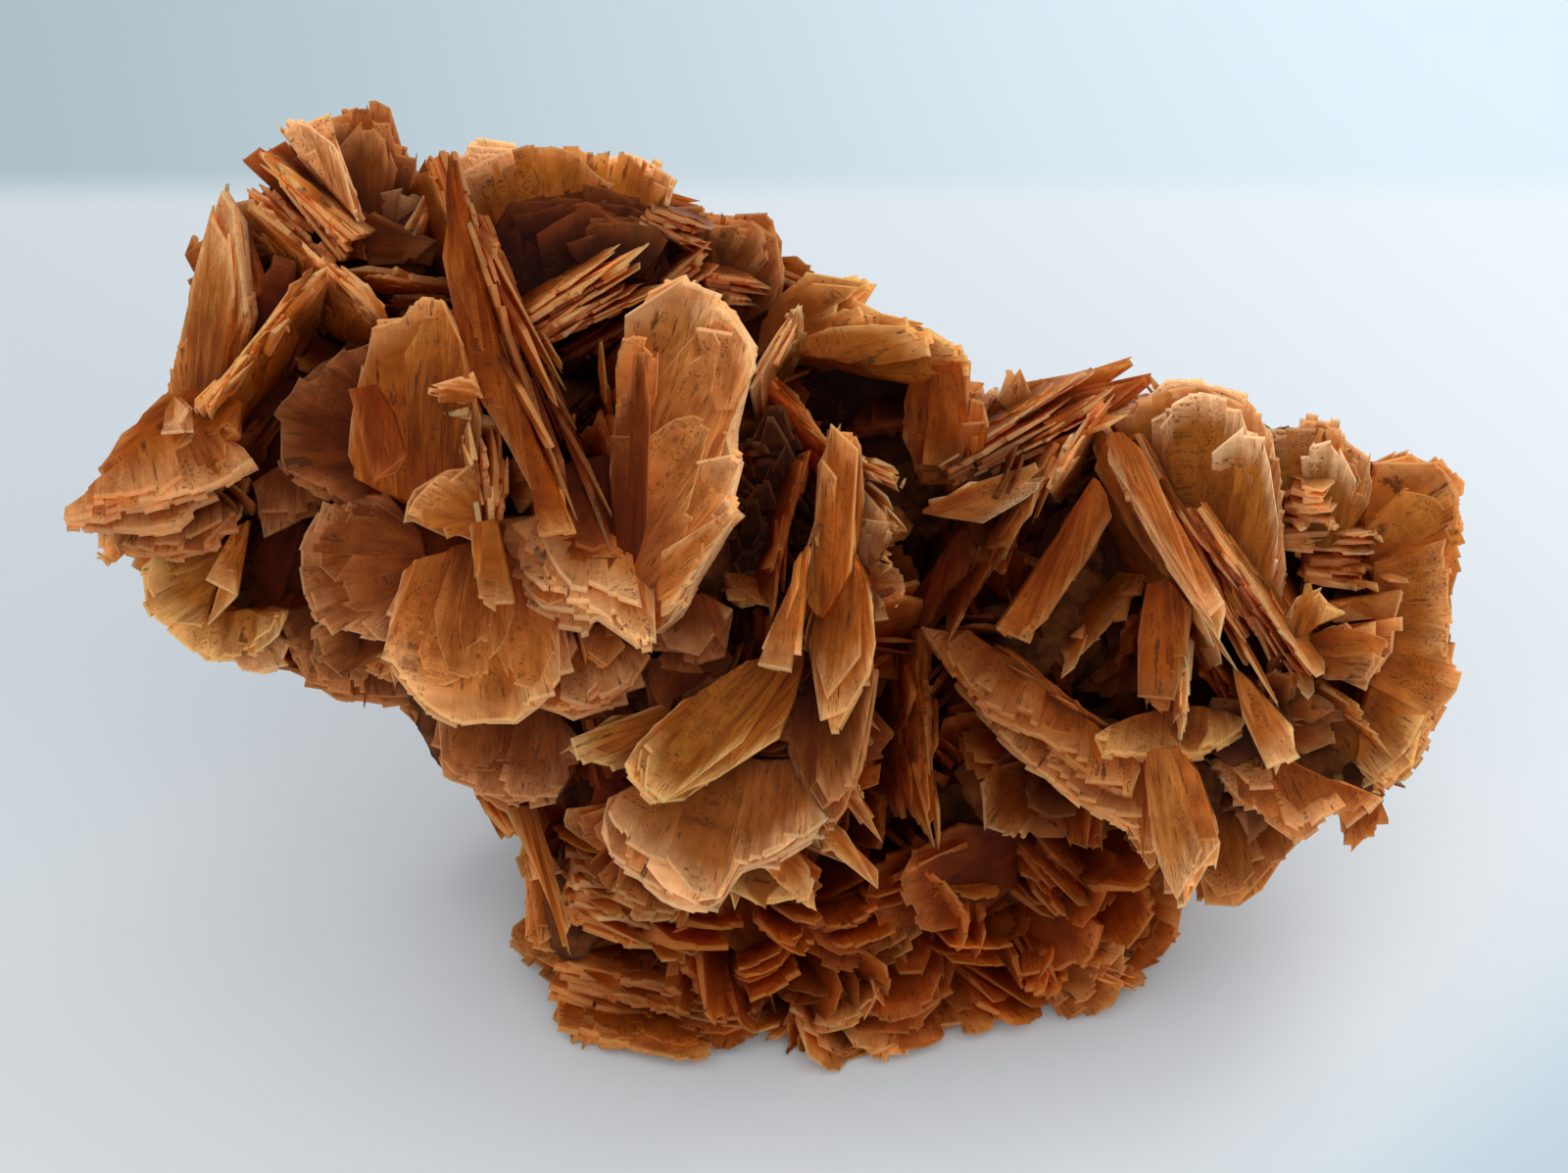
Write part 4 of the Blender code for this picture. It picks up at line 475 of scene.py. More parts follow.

# Each tone's colour on the face and along the rim, as linear red, green and blue, and how far in mm the
# rim's colour reaches. The rim's paler colour is partly the thin crystal's own and partly painted glow of
# light shining through the thin rims.
TONES = {
    "orange": ((0.37, 0.095, 0.010), (0.50, 0.20, 0.055), 2.2),
    "honey": ((0.45, 0.143, 0.020), (0.60, 0.29, 0.100), 2.4),
    "light": ((0.54, 0.190, 0.037), (0.68, 0.37, 0.150), 3.0),
    "glow": ((0.64, 0.240, 0.055), (0.74, 0.42, 0.180), 3.6),
    "peach": ((0.58, 0.250, 0.080), (0.72, 0.43, 0.200), 3.0),
    "pale": ((0.47, 0.175, 0.038), (0.64, 0.37, 0.170), 2.6),
    "pink": ((0.41, 0.125, 0.022), (0.58, 0.27, 0.100), 3.0),
    "dirty": ((0.28, 0.078, 0.015), (0.47, 0.21, 0.080), 2.4),
    "rust": ((0.24, 0.045, 0.005), (0.38, 0.11, 0.024), 2.0),
    "spine": ((0.22, 0.052, 0.007), (0.42, 0.16, 0.045), 2.0),
    "brown": ((0.22, 0.060, 0.009), (0.42, 0.17, 0.055), 2.2),
    # Painted shade: sheets set in the hollows and behind other crystals take this tone to stand for the
    # shade there.
    "dark": ((0.06, 0.014, 0.003), (0.16, 0.045, 0.011), 2.0),
    "crown": ((0.42, 0.145, 0.017), (0.76, 0.50, 0.270), 2.6),
    "gold": ((0.37, 0.120, 0.014), (0.60, 0.33, 0.110), 2.4),
    "amber": ((0.38, 0.130, 0.016), (0.64, 0.37, 0.130), 3.0),
    "glass": ((0.24, 0.085, 0.020), (0.46, 0.24, 0.090), 1.2),
    # Darker, as on the base: partly the crystals' own rust colour, partly painted shade of the lobes that
    # overhang the base.
    "base": ((0.27, 0.055, 0.007), (0.44, 0.125, 0.024), 2.0),
    "mosaic": ((0.065, 0.021, 0.006), (0.20, 0.09, 0.040), 0.6),
}

# The outline of the whole specimen as it is laid out, which no rooted crystal grows out of.
SILHOUETTE = (
    (-52.3, 4.6), (-49.3, 9.6), (-45.4, 12.9), (-43.9, 17.1), (-41.8, 25), (-41.3, 29.9), (-39.9, 27.5),
    (-38.9, 31.8), (-36.8, 34.4), (-33.6, 34.9), (-29.1, 35.9), (-28.2, 33.2), (-26.8, 31.8), (-26, 27.8),
    (-24.6, 32.1), (-22.9, 32.7), (-17.1, 32.3), (-11.4, 32.3), (-7.9, 31.1), (-7.5, 28.9), (-0.7, 27.5),
    (0.1, 24.1), (0, 22.5), (5.7, 22.9), (7, 22.3), (5.2, 20.7), (10, 19.3), (13.2, 17.9), (13.6, 14.3),
    (16.4, 15.7), (26.8, 17.7), (27, 15.7), (33.9, 14.1), (35, 11.8), (39.3, 12.9), (42.1, 10.4),
    (45.7, 10.4), (50, 8.2), (50, 2.9), (48.6, -1.4), (49.6, -6.4), (47.5, -12.1), (45, -14.3),
    (43.9, -17.1), (41.4, -19.3), (38.6, -18.6), (35.7, -20.7), (31.8, -23.6), (28.9, -23.6), (28.2, -27.9),
    (23.6, -30.7), (17.9, -31.8), (10.7, -33.6), (3.6, -35.7), (1.4, -33.6), (-5.7, -34.3), (-14.3, -33.2),
    (-17.9, -30.7), (-17.1, -25.7), (-19.3, -23.6), (-18.9, -20.7), (-20, -17.1), (-24.6, -14.3),
    (-26.4, -10), (-33.6, -7.5), (-42.9, -5.7), (-46.4, -2.9), (-47.4, 0.7), (-51.4, 1.8),
)

# The broad blades whose sheets nearly all reach their rim; the others are terraced towards it.
SMOOTH_FACED = (
    "front_facet", "mid_facet", "low_facet", "long_low", "long_low_rim", "front_plate", "rose_right",
    "gold_plate", "down_pale", "down_face", "bright_lath", "pale_leaf", "glass_triangle", "lath_low",
    "long_lens", "pink_plate", "face_high", "face_mid", "stepped_stack", "left_wedge", "fan_lath",
    "left_fin", "pale_step", "low_plate",
)
# The large broad blades with no leaves that rise off their face.
FLAT = (
    "rose_right", "front_plate", "pink_plate", "back_crown", "stepped_stack", "face_high", "long_lens",
)

# Parts of the layout that the crust leaves bare: over two laid-out crystals of the base, and the
# mouth of the right lobe's deep hollow.
BARE = (
    ((-18.5, -26.5), (-14, -26), (-9, -28), (-3.6, -30.6), (-3.4, -34.6), (-12, -34.8), (-18, -32)),
    ((18.4, -28.6), (10, -30), (4, -33.5), (3.4, -35.8), (9, -34.4), (18.6, -31)),
    ((20.5, 5), (24, 6.5), (27, 3.5), (27, -3), (23, -4), (20, -1)),
)

# How a sheet is cut into strips: their least and greatest width, how far a strip's end may stand
# back, and the share of the ends that are cut square.
BROAD_CUT = ((0.4, 3.0), 0.9, 0.4)
RISING_CUT = ((0.4, 2.2), 1.1, 0.4)
SCALE_CUT = ((0.3, 1.6), 1.1, 0.4)
MOSAIC_CUT = ((0.4, 1.2), 0.5, 0.0)
BOOK_CUT = ((0.4, 3.0), 0.8, 0.25)
PETAL_CUT = ((0.4, 2.0), 0.7, 0.4)
STRIP_LEAST_LENGTH = 0.12
STRIP_LAST = 1.5  # what is left of the angle goes into one strip if it is less than so many strips
STRIP_SKEW = 1.8  # above 1, the more of the strips are narrow
STEP_SHARE = 0.6  # the share of the strips whose end starts a new step
STEP_SKEW = 2.0  # above 1, the more of the steps are small
SQUARE_STEP = 1.6  # the tallest step between a strip's two corners that may be cut square
TIPS_MEET = 0.02  # the ends of two strips this near each other share a corner

SHEET_PITCH = 0.5  # one sheet of a standing blade and the gap behind it
SHEET_SHARE = 0.86  # how much of the pitch is crystal
UNEQUAL = (0.5, 1.6)  # a sheet's share of its stack, before the shares are made to add up
TONE_VARIED = 0.12  # how much lighter or darker a sheet's tone may be
WARMTH_VARIED = 0.5  # how much redder or yellower, as a share of that
CHAMFER = 0.1
RELIEF = 0.008  # how far a strip's edges stand off the sheet's plane
TIP_RELIEF = (-1.4, 1)  # what it is multiplied by at their ends
THINNING = 0.45  # the share of a blade's length over which it thins towards its tip
THINNEST = 0.15
WEAR_SPACING = 1.3  # between the small corners along a worn outline
WEAR_STRAY = 0.3  # how far they stray along it, as a share of the spacing
WEAR = 0.3  # how far they stand off it
GRAIN_NUMBERS = 1000  # a sheet's own number in the grain is drawn from 0 to this

# In what follows a pair is the range that a value is drawn from, a stray is the most that it strays
# either way, and a loss is the most that a reach may lack of its whole.
BROAD_BEND = 0.004  # how strongly a broad blade is bent and twisted
BROAD_HUB_STRAY = 1.5
SMOOTH_LOSS = 0.03
TERRACE_LOSS = (0.01, 0.055)  # for each sheet that lies behind
CROWN_FAINTER = 0.8  # how much fainter the rim of the crown's front sheet is

# Leaves rise off a broad blade's face towards its rim.
RISING_AREA = 35  # the area of the face for each, in square mm
RISING_SLOPE = (0.008, 0.03)
RISING_SPAN = (0.3, 0.7)  # the share of the face's angles that one takes
RISING_HUB_STRAY = 3
RISING_REACH = (0.8, 0.98)
RISING_TAPER = (0.05, 0.3)
RISING_THICKNESS = (0.2, 0.4)
RISING_GAP = 0.05  # how far the first one's root stands off the face
RISING_STEP = 0.1  # and each further one off the one before

# Scales lie close on a face.
SCALE_AREA = 40
SCALE_AREA_ON_BOOK = 18
SCALE_REACH = 0.98
SCALE_LOSS = 0.45
SCALE_SPAN = (0.12, 0.5)
SCALE_TAPER = (0.1, 0.5)
SCALE_THICKNESS = (0.04, 0.12)
SCALE_GAP = 0.02
SCALE_STEP = 0.04
SCALE_FAINTER = 0.8
SCALE_TONE_VARIED = 0.05
SCALE_RELIEF = 0.006

# The mosaic's square steps.
TILES = 70
TILE_WIDE = (0.5, 1.6)  # half of a tile's width and height
TILE_TALL = (0.4, 1.3)
TILE_THICKNESS = 0.15
TILE_STEP = 0.01
TILE_TONE_VARIED = 0.3
TILE_HUB = 60  # so far below the tile that its strips are almost parallel

BOOK_FAN_STRAY = 0.015
BOOK_ROLL_STRAY = 0.05
BOOK_RECESS = (0, 0.7)  # how far a sheet's rim stands back
BOOK_LOSS = 0.3
BOOK_BOW = (-0.5, 0.8)  # how far a sheet's middle stands forwards or back
BOOK_RELIEF = 0.01
SLIVER_SPACING = 3  # along the book, for each splinter
SLIVER_BACK = (0.3, 2.0)  # how far behind the rim its root lies
SLIVER_ASIDE = 0.6  # how far aside, as a share of the stack
SLIVER_START = (0, 0.75)  # how far along the book
SLIVER_LENGTH = (0.25, 0.5)  # as a share of the book's
SLIVER_TURNS = (0.22, 0.12)  # the strays of its turns in the sheets' plane and out of it
SLIVER_FORWARDS = (0, 1.2)
SLIVER_BREADTH = (0.8, 2.4)
SLIVER_THICKNESS = (0.25, 0.6)
SLIVER_MARGIN = 0.3

PETAL_SPLAY = (0, 0.16)
PETAL_SWING = 0.12
PETAL_LOSS = 0.35
PETAL_BOW = 0.006
PETAL_CORNERS = ((0.9, 1), (0.7, 1.15))  # the shares of its length and breadth for each corner

CELL = 1.5 * MM  # the size of the cells that the light inside the cluster is reckoned in
OPACITY = 2.2  # how strongly a cell full of crystal dims the light
SAMPLE_SPACING = 2  # between the places in a strip that stand for its crystal
PRESSED = 1.2 * MM  # below this height the crystals are pressed towards the floor

# What a crystal's colour is multiplied by: painted shade far in from the rim, towards the roots of its
# strips that lie in the crevices (ROOT_SHADE), and painted shade where little light from all round reaches
# it and painted light in the open (SHADED, LIT).
ROOT_SHADE = (0.62, 0.46, 0.37, 1)
SHADED = (0.54, 0.31, 0.21, 1)
LIT = (1.05, 1.07, 1.11, 1)
SPECK = (0.06, 0.015, 0.004, 1)
CRACK = (0.05, 0.014, 0.005, 1)
RIM_HIGHLIGHT = (1.22, 1.34, 1.52, 1)  # painted highlight: how much lighter than the rim's tone its outermost line is
# What turns the crystals' colour in patterns: each one's bounds, and what it is multiplied by there.
FIBRES = (0.25, 0.75, (0.90, 0.84, 0.77, 1), (1.05, 1.05, 1.04, 1))
CLOUDS = (0.3, 0.7, (0.66, 0.51, 0.38, 1), (1.18, 1.20, 1.22, 1))
MOTTLE = (0.3, 0.7, (0.80, 0.70, 0.60, 1), (1.10, 1.12, 1.14, 1))
# The bounds between which a smooth step goes: in mm from the rim, in the share of light, in the noise.
DEEPER = (0.6, 6.0)
AT_RIM = (1.0, 0.0)
AT_HIGHLIGHT = (0.10, 0.03)
IN_LIGHT = (0.08, 0.65)
HIGHLIGHT_IN_LIGHT = (0.1, 0.8, 0.0, 0.55)  # and what this step goes from and to
SPECKED, IN_SPECKED_PATCH = (0.52, 0.62), (0.45, 0.60)
CRACKED, IN_CRACKED_PATCH = (0.56, 0.63), (0.62, 0.44)
SMOOTH_FIBRES = (0.3, 0.7)
SPECK_STRENGTH, CRACK_STRENGTH = 0.75, 0.8
# The colours of the ground mass, and those of the floor from left to right, lighter towards the right as
# painted light from the window there.
GROUND_DARK, GROUND_LIGHT = (0.05, 0.013, 0.004, 1), (0.16, 0.043, 0.011, 1)
TABLE_LEFT, TABLE_RIGHT = (0.41, 0.49, 0.53, 1), (0.70, 0.79, 0.84, 1)
PAPER_LEFT, PAPER_RIGHT = (0.64, 0.685, 0.71, 1), (0.79, 0.835, 0.865, 1)
PAPER_FRONT, PAPER_BACK = (1.27, 1.22, 1.18, 1), (1, 1, 1, 1)  # what the front and back are multiplied by: painted light, lifting the specimen's shadow in front
# What the paper turns to towards its front right corner, darker and bluer.
PAPER_CORNER = (0.55, 0.67, 0.74, 1)
PAPER_BLUR = 0.003
PAPER_EDGE = 0.082  # how far behind the part the white paper ends
# Where the floor's shades turn from one to the next, in metres across, backwards and diagonally.
TABLE_SIDES = (-0.09, 0.06)
PAPER_SIDES = (-0.10, 0.08)
PAPER_DEPTH = (-0.03, 0.03)
PAPER_DIAGONAL = (0.05, 0.095)


def placed(across, up, out):
    """The point of the part, in metres, for a place in the layout."""
    wider = 1 - out / EYE_DISTANCE
    back = math.cos(LEAN) * up * wider - math.sin(LEAN) * out
    height = math.sin(LEAN) * up * wider + math.cos(LEAN) * out + PLANE_HEIGHT
    return Vector((across * wider - CENTRE_ACROSS, back + CENTRE_BACK, height)) * MM


def layout_of(place):
    """The layout's (across, up, out) for a point of the part."""
    x = place.x / MM + CENTRE_ACROSS
    y = place.y / MM - CENTRE_BACK
    z = place.z / MM - PLANE_HEIGHT
    out = math.cos(LEAN) * z - math.sin(LEAN) * y
    up = math.cos(LEAN) * y + math.sin(LEAN) * z
    wider = 1 - out / EYE_DISTANCE
    return x / wider, up / wider, out


def in_part_axes(point):
    """A point given in the part's own axes before centring, in metres."""
    return Vector((point[0] - CENTRE_ACROSS, point[1] + CENTRE_BACK, point[2])) * MM


def on_ground(across, up):
    """Where the line of sight to a place in the layout meets the ground, in metres."""
    out = -(math.sin(LEAN) * up + PLANE_HEIGHT) / (math.cos(LEAN) - math.sin(LEAN) * up / EYE_DISTANCE)
    return placed(across, up, out)


def direction(across, up, out):
    """A layout direction as a unit vector of the part."""
    back = math.cos(LEAN) * up - math.sin(LEAN) * out
    height = math.sin(LEAN) * up + math.cos(LEAN) * out
    return Vector((across, back, height)).normalized()


def middle_of(outline):
    """The mean of the outline's corners."""
    return [sum(values) / len(outline) for values in zip(*outline)]


def area_of(outline):
    """The area that the outline goes round."""
    following = outline[1:] + outline[:1]
    return abs(sum(a[0] * b[1] - b[0] * a[1] for a, b in zip(outline, following))) / 2


def covers(outline, across, up):
    """Whether the outline lies round a place in the layout."""
    inside = False
    ax, ay = outline[-1]
    for bx, by in outline:
        if (ay > up) != (by > up) and across < ax + (bx - ax) * (up - ay) / (by - ay):
            inside = not inside
        ax, ay = bx, by
    return inside


def around_a_ball(count):
    """Directions spread evenly all round, along a spiral from top to bottom."""
    golden = math.pi * (3 - math.sqrt(5))
    for number in range(count):
        z = 1 - 2 * (number + 0.5) / count
        ring = math.sqrt(1 - z * z)
        yield ring * math.cos(golden * number), ring * math.sin(golden * number), z


def within_box(place):
    """The place, moved into the frame's own box if it stands outside. Near the floor the heights are
    pressed together, so that crystals lie on it and none reaches below."""
    x, y, z = (min(max(value, low), high) for value, low, high in zip(place, *CAD_BOX))
    if place.z < PRESSED:
        z = PRESSED * math.exp(place.z / PRESSED - 1)
    return Vector((x, y, z))


def dress(obj, material):
    """Give a piece its material and its place in the frame."""
    obj.data.materials.clear()
    obj.data.materials.append(material)
    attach(obj, "root")
    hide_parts("barite_cluster")


class Pile:
    """The sheets of one piece, gathered point by point before they become its mesh."""

    def __init__(self):
        self.points = []
        self.faces = []
        self.edge = []  # distance to the strip's own end, in widths of the light rim, at each face's corners
        self.grain = []  # across the strips, along them, and the sheet's own number, in mm
        self.face_tone = []
        self.rim_tone = []
        self.solid = []  # places inside the crystal, each with the volume it stands for in cubic mm

    def point(self, place, grain, tones):
        self.points.append(within_box(place))
        self.grain.append(grain)
        self.face_tone.append((*tones[0], 1))
        self.rim_tone.append((*tones[1], 1))
        return len(self.points) - 1

    def face(self, corners, edges):
        self.faces.append(corners)
        self.edge.extend(edges)

    def object(self, name, material, light):
        """Make the piece, with what its material reads as attributes of the mesh."""
        mesh = bpy.data.meshes.new(name)
        mesh.from_pydata(self.points, [], self.faces)
        for title, kind, domain, key, values in (
            ("edge", "FLOAT", "CORNER", "value", self.edge),
            ("grain", "FLOAT_VECTOR", "POINT", "vector", self.grain),
            ("face_tone", "FLOAT_COLOR", "POINT", "color", self.face_tone),
            ("rim_tone", "FLOAT_COLOR", "POINT", "color", self.rim_tone),
            ("light", "FLOAT", "POINT", "value", light_at(light, self.points)),
        ):
            layer = mesh.attributes.new(title, kind, domain)
            layer.data.foreach_set(key, np.array(values, np.float32).ravel())
        mesh.validate()
        obj = bpy.data.objects.new(name, mesh)
        bpy.context.scene.collection.objects.link(obj)
        dress(obj, material)


def light_field(piles):
    """How much light from all round reaches each cell of a grid about the crystals, as the grid's
    corner and the cells' values: full in the open, less the more crystal lies on the way."""
    solid = np.array([sample for pile in piles for sample in pile.solid])
    low = solid[:, :3].min(axis=0) - 2 * CELL
    cells = ((solid[:, :3] - low) / CELL).astype(int)
    shape = tuple(cells.max(axis=0) + 3)
    filled = np.zeros(shape)
    np.add.at(filled, tuple(cells.T), solid[:, 3] / (CELL / MM) ** 3)
    total = np.zeros(shape)
    ways = [way for way in np.ndindex(3, 3, 3) if way != (1, 1, 1)]
    for way in ways:
        step = [side - 1 for side in way]
        passing = np.exp(-OPACITY * filled * math.sqrt(sum(side * side for side in step)))
        light = np.ones(shape)
        axis = next(number for number, side in enumerate(step) if side)
        order = range(1, shape[axis]) if step[axis] > 0 else range(shape[axis] - 2, -1, -1)
        for place in order:
            here = [slice(None)] * 3
            there = [slice(None)] * 3
            here[axis], there[axis] = place, place - step[axis]
            for other in range(axis + 1, 3):
                if step[other]:
                    ahead, behind = slice(1, None), slice(None, -1)
                    here[other], there[other] = (ahead, behind) if step[other] > 0 else (behind, ahead)
            light[tuple(here)] = light[tuple(there)] * passing[tuple(there)]
        total += light
    return low, total / len(ways)


def light_at(field, points):
    """The light field's value at each point, blended between the nearest cells."""
    low, values = field
    place = (np.array(points) - low) / CELL - 0.5
    corner = np.clip(np.floor(place).astype(int), 0, np.array(values.shape) - 2)
    share = np.clip(place - corner, 0, 1)
    found = np.zeros(len(place))
    for offset in np.ndindex(2, 2, 2):
        weight = np.prod(np.where(np.array(offset) == 1, share, 1 - share), axis=1)
        found += weight * values[tuple((corner + offset).T)]
    return found


def crossings(hub, angle, outline):
    """How far along a ray from the hub the outline is first and last crossed, or None."""
    dx, dy = math.cos(angle), math.sin(angle)
    found = []
    ax, ay = outline[-1][0] - hub[0], outline[-1][1] - hub[1]
    for corner in outline:
        bx, by = corner[0] - hub[0], corner[1] - hub[1]
        side_a = dx * ay - dy * ax
        side_b = dx * by - dy * bx
        if (side_a > 0) != (side_b > 0):
            share = side_a / (side_a - side_b)
            along = dx * (ax + (bx - ax) * share) + dy * (ay + (by - ay) * share)
            if along > 0:
                found.append(along)
        ax, ay = bx, by
    if not found:
        return None
    return (min(found) if len(found) > 1 else 0.0, max(found))


def angles_of(hub, outline):
    """The first and last angle at which the outline is seen from the hub."""
    middle = middle_of(outline)
    facing = math.atan2(middle[1] - hub[1], middle[0] - hub[0])
    turns = []
    for x, y in outline:
        turn = math.atan2(y - hub[1], x - hub[0]) - facing
        turns.append((turn + math.pi) % (2 * math.pi) - math.pi)
    return facing + min(turns), facing + max(turns)


def strips_of(rng, outline, hub, cut, span=(0, 1), reach=1.0, taper=0.0):
    """The strips of a sheet: the angles of the rays between them, the root on each ray, and each
    strip's end on the ray before it and on the ray after it. Ends follow the outline, stepped back
    as the cut says. The sheet takes a span of the angles and reaches a share of the way to the
    outline, and with a taper its sides reach less far."""
    (least, greatest), notch, square = cut
    margin = 1e-3
    first, last = angles_of(hub, outline)
    low = first + (last - first) * (span[0] + margin)
    high = first + (last - first) * (span[1] - margin)
    far = max(math.hypot(x - hub[0], y - hub[1]) for x, y in outline)
    rays = [low]
    while rays[-1] < high:
        step = (least + (greatest - least) * rng.random() ** STRIP_SKEW) / far
        rays.append(rays[-1] + step if high - rays[-1] > STRIP_LAST * step else high)
    crossed = [crossings(hub, ray, outline) for ray in rays]
    known = [pair for pair in crossed if pair]
    roots = []
    rims = []
    for ray, pair in zip(rays, crossed):
        root, rim = pair or known[-1 if rims else 0]
        aside = 2 * (ray - low) / (high - low) - 1
        roots.append(root)
        rims.append(root + (rim - root) * reach * (1 - taper * aside * aside))
    drop = 0.0
    ends = []
    for number in range(len(rays) - 1):
        if rng.random() < STEP_SHARE:
            drop = notch * rng.random() ** STEP_SKEW
        before, after = rims[number] - drop, rims[number + 1] - drop
        if rng.random() < square and abs(before - after) < SQUARE_STEP:
            before = after = (before + after) / 2
        least_end = max(roots[number], roots[number + 1]) + STRIP_LEAST_LENGTH
        ends.append((max(before, least_end), max(after, least_end)))
    return rays, roots, ends


def run_to(root, tips, wanted):
    """The distances along a ray from its root to the tip that is nearest to the wanted one."""
    end = min(tips, key=lambda tip: abs(tip - wanted))
    return [root] + [tip for tip in tips if tip < end] + [end]


def add_sheet(pile, rng, onto, strips, hub, lift, thickness, tones, relief=RELIEF, tip=None):
    """One closed sheet made of the strips. onto(x, y, lift) is the place of a point of its plane.
    The crystal's fibres run out from the hub, or lengthwise along x if it thins towards a tip,
    which is given as how far along x it lies."""
    rays, roots, ends = strips
    seed = rng.uniform(0, GRAIN_NUMBERS)
    ribs = []
    for ray, root, before, after in zip(rays, roots, [None] + ends, ends + [None]):
        level = lift + relief * rng.uniform(-1, 1)
        tip_level = lift + relief * rng.uniform(*TIP_RELIEF)
        tips = sorted({round(end[side], 3) for end, side in ((before, 1), (after, 0)) if end})
        if len(tips) == 2 and tips[1] - tips[0] < TIPS_MEET:
            tips = tips[1:]
        farthest = tips[-1]
        column = {}
        for radius in [root] + tips:
            share = (radius - root) / max(farthest - root, 1e-6)
            height = level + (tip_level - level) * share
            grown = radius + (CHAMFER if radius != root else 0)
            pair = []
            for reach, side in ((radius, 0), (grown, 1)):
                x = hub[0] + reach * math.cos(ray)
                y = hub[1] + reach * math.sin(ray)
                fibre = (y, x) if tip else (ray * farthest, reach)
                left = min(1, max(THINNEST, (tip - x) / (THINNING * tip))) if tip else 1
                drop = thickness * (0.5 + (side - 0.5) * left)
                grain = (*fibre, seed + height - drop)
                pair.append(pile.point(onto(x, y, height - drop), grain, tones))
            column[radius] = pair
        ribs.append((root, tips, column))
    for number, (start, finish) in enumerate(ends):
        (root_a, tips_a, column_a), (root_b, tips_b, column_b) = ribs[number:number + 2]
        run_a, run_b = run_to(root_a, tips_a, start), run_to(root_b, tips_b, finish)
        end_a, end_b = run_a[-1], run_b[-1]
        add_samples(pile, onto, hub, rays[number:number + 2], root_a, (end_a + end_b) / 2, lift, thickness)
        edges_a, edges_b = ([(run[-1] - radius) / tones[2] for radius in run] for run in (run_a, run_b))
        outwards = [column_a[radius] for radius in run_a] + [column_b[radius] for radius in run_b[::-1]]
        edges = edges_a + edges_b[::-1]
        pile.face([pair[0] for pair in outwards], edges)
        pile.face([pair[1] for pair in outwards[::-1]], edges[::-1])
        a, b = column_a[end_a], column_b[end_b]
        pile.face((b[0], a[0], a[1], b[1]), (0, 0, 0, 0))
        a, b = column_a[root_a], column_b[root_b]
        pile.face((a[0], b[0], b[1], a[1]), (edges_a[0], edges_b[0], edges_b[0], edges_a[0]))
        if number == 0:
            add_wall(pile, column_a, run_a, end_a, tones[2])
        if number == len(ends) - 1:
            add_wall(pile, column_b, run_b[::-1], end_b, tones[2])
        else:
            other = run_to(root_b, tips_b, ends[number + 1][0])[-1]
            if other != end_b:
                add_wall(pile, column_b, (end_b, other), max(end_b, other), tones[2])


def add_samples(pile, onto, hub, sides, root, end, lift, thickness):
    """Note the crystal that a strip between two rays holds, at places along its middle."""
    middle, length = (sides[0] + sides[1]) / 2, end - root
    steps = max(1, round(length / SAMPLE_SPACING))
    for step in range(steps):
        radius = root + length * (step + 0.5) / steps
        x, y = hub[0] + radius * math.cos(middle), hub[1] + radius * math.sin(middle)
        volume = radius * (sides[1] - sides[0]) * length / steps * thickness
        pile.solid.append((*onto(x, y, lift - thickness / 2), volume))


def add_wall(pile, column, run, end, rim_width):
    """The upright faces along a ray, with the crystal to the left of the way from first to last."""
    for near, far in zip(run, run[1:]):
        (near_top, near_under), (far_top, far_under) = column[near], column[far]
        far_edge, near_edge = (end - far) / rim_width, (end - near) / rim_width
        pile.face((far_top, near_top, near_under, far_under), (far_edge, near_edge, near_edge, far_edge))


def fainter(tones, share):
    """The tones with the rim's colour brought nearer to the face's."""
    face, rim, rim_width = tones
    return face, tuple(share * f + (1 - share) * r for f, r in zip(face, rim)), rim_width


def varied(rng, tones, amount=TONE_VARIED):
    """The tones, a little lighter or darker and a little redder or yellower."""
    shade = 1 + rng.uniform(-amount, amount)
    warm = 1 + rng.uniform(-WARMTH_VARIED, WARMTH_VARIED) * amount
    face, rim = ((r * shade, g * shade * warm, b * shade * warm * warm) for r, g, b in tones[:2])
    return face, rim, tones[2]


def weathered(rng, outline):
    """The outline with small irregular corners between its own."""
    found = []
    for (ax, ay), (bx, by) in zip(outline, outline[1:] + outline[:1]):
        found.append((ax, ay))
        dx, dy = bx - ax, by - ay
        length = math.hypot(dx, dy)
        for number in range(1, int(length / WEAR_SPACING)):
            share = (number + rng.uniform(-WEAR_STRAY, WEAR_STRAY)) * WEAR_SPACING / length
            shift = rng.uniform(-WEAR, WEAR) / length
            found.append((ax + dx * share - dy * shift, ay + dy * share + dx * shift))
    return found


def strayed(rng, hub, stray):
    """The hub, moved at random by up to the stray along each axis."""
    return (hub[0] + rng.uniform(-stray, stray), hub[1] + rng.uniform(-stray, stray))


def split_up(rng, stack, count):
    """The stack divided into sheets of unequal thickness, each as its depth and its own thickness."""
    weights = [rng.uniform(*UNEQUAL) for _number in range(count)]
    depth = 0.0
    found = []
    for weight in weights:
        pitch = stack * weight / sum(weights)
        found.append((depth, pitch * SHEET_SHARE))
        depth += pitch
    return found


def add_scales(pile, rng, onto, outline, hub, lift, tones, count, under=False):
    """Thin partial sheets on a face, shorter the higher they lie, so that it is terraced."""
    reaches = sorted((SCALE_REACH - SCALE_LOSS * rng.random() ** 2 for _ in range(count)), reverse=True)
    face, rim, rim_width = fainter(tones, SCALE_FAINTER)
    for number, reach in enumerate(reaches):
        width = rng.uniform(*SCALE_SPAN)
        start = rng.uniform(0, 1 - width)
        taper = rng.uniform(*SCALE_TAPER)
        strips = strips_of(rng, outline, hub, SCALE_CUT, (start, start + width), reach, taper)
        thickness = rng.uniform(*SCALE_THICKNESS)
        if under:
            height = lift - SCALE_GAP - SCALE_STEP * number
        else:
            height = lift + SCALE_GAP + SCALE_STEP * number + thickness
        own = varied(rng, (face, rim, rim_width / 2), SCALE_TONE_VARIED)
        add_sheet(pile, rng, onto, strips, hub, height, thickness, own, SCALE_RELIEF)


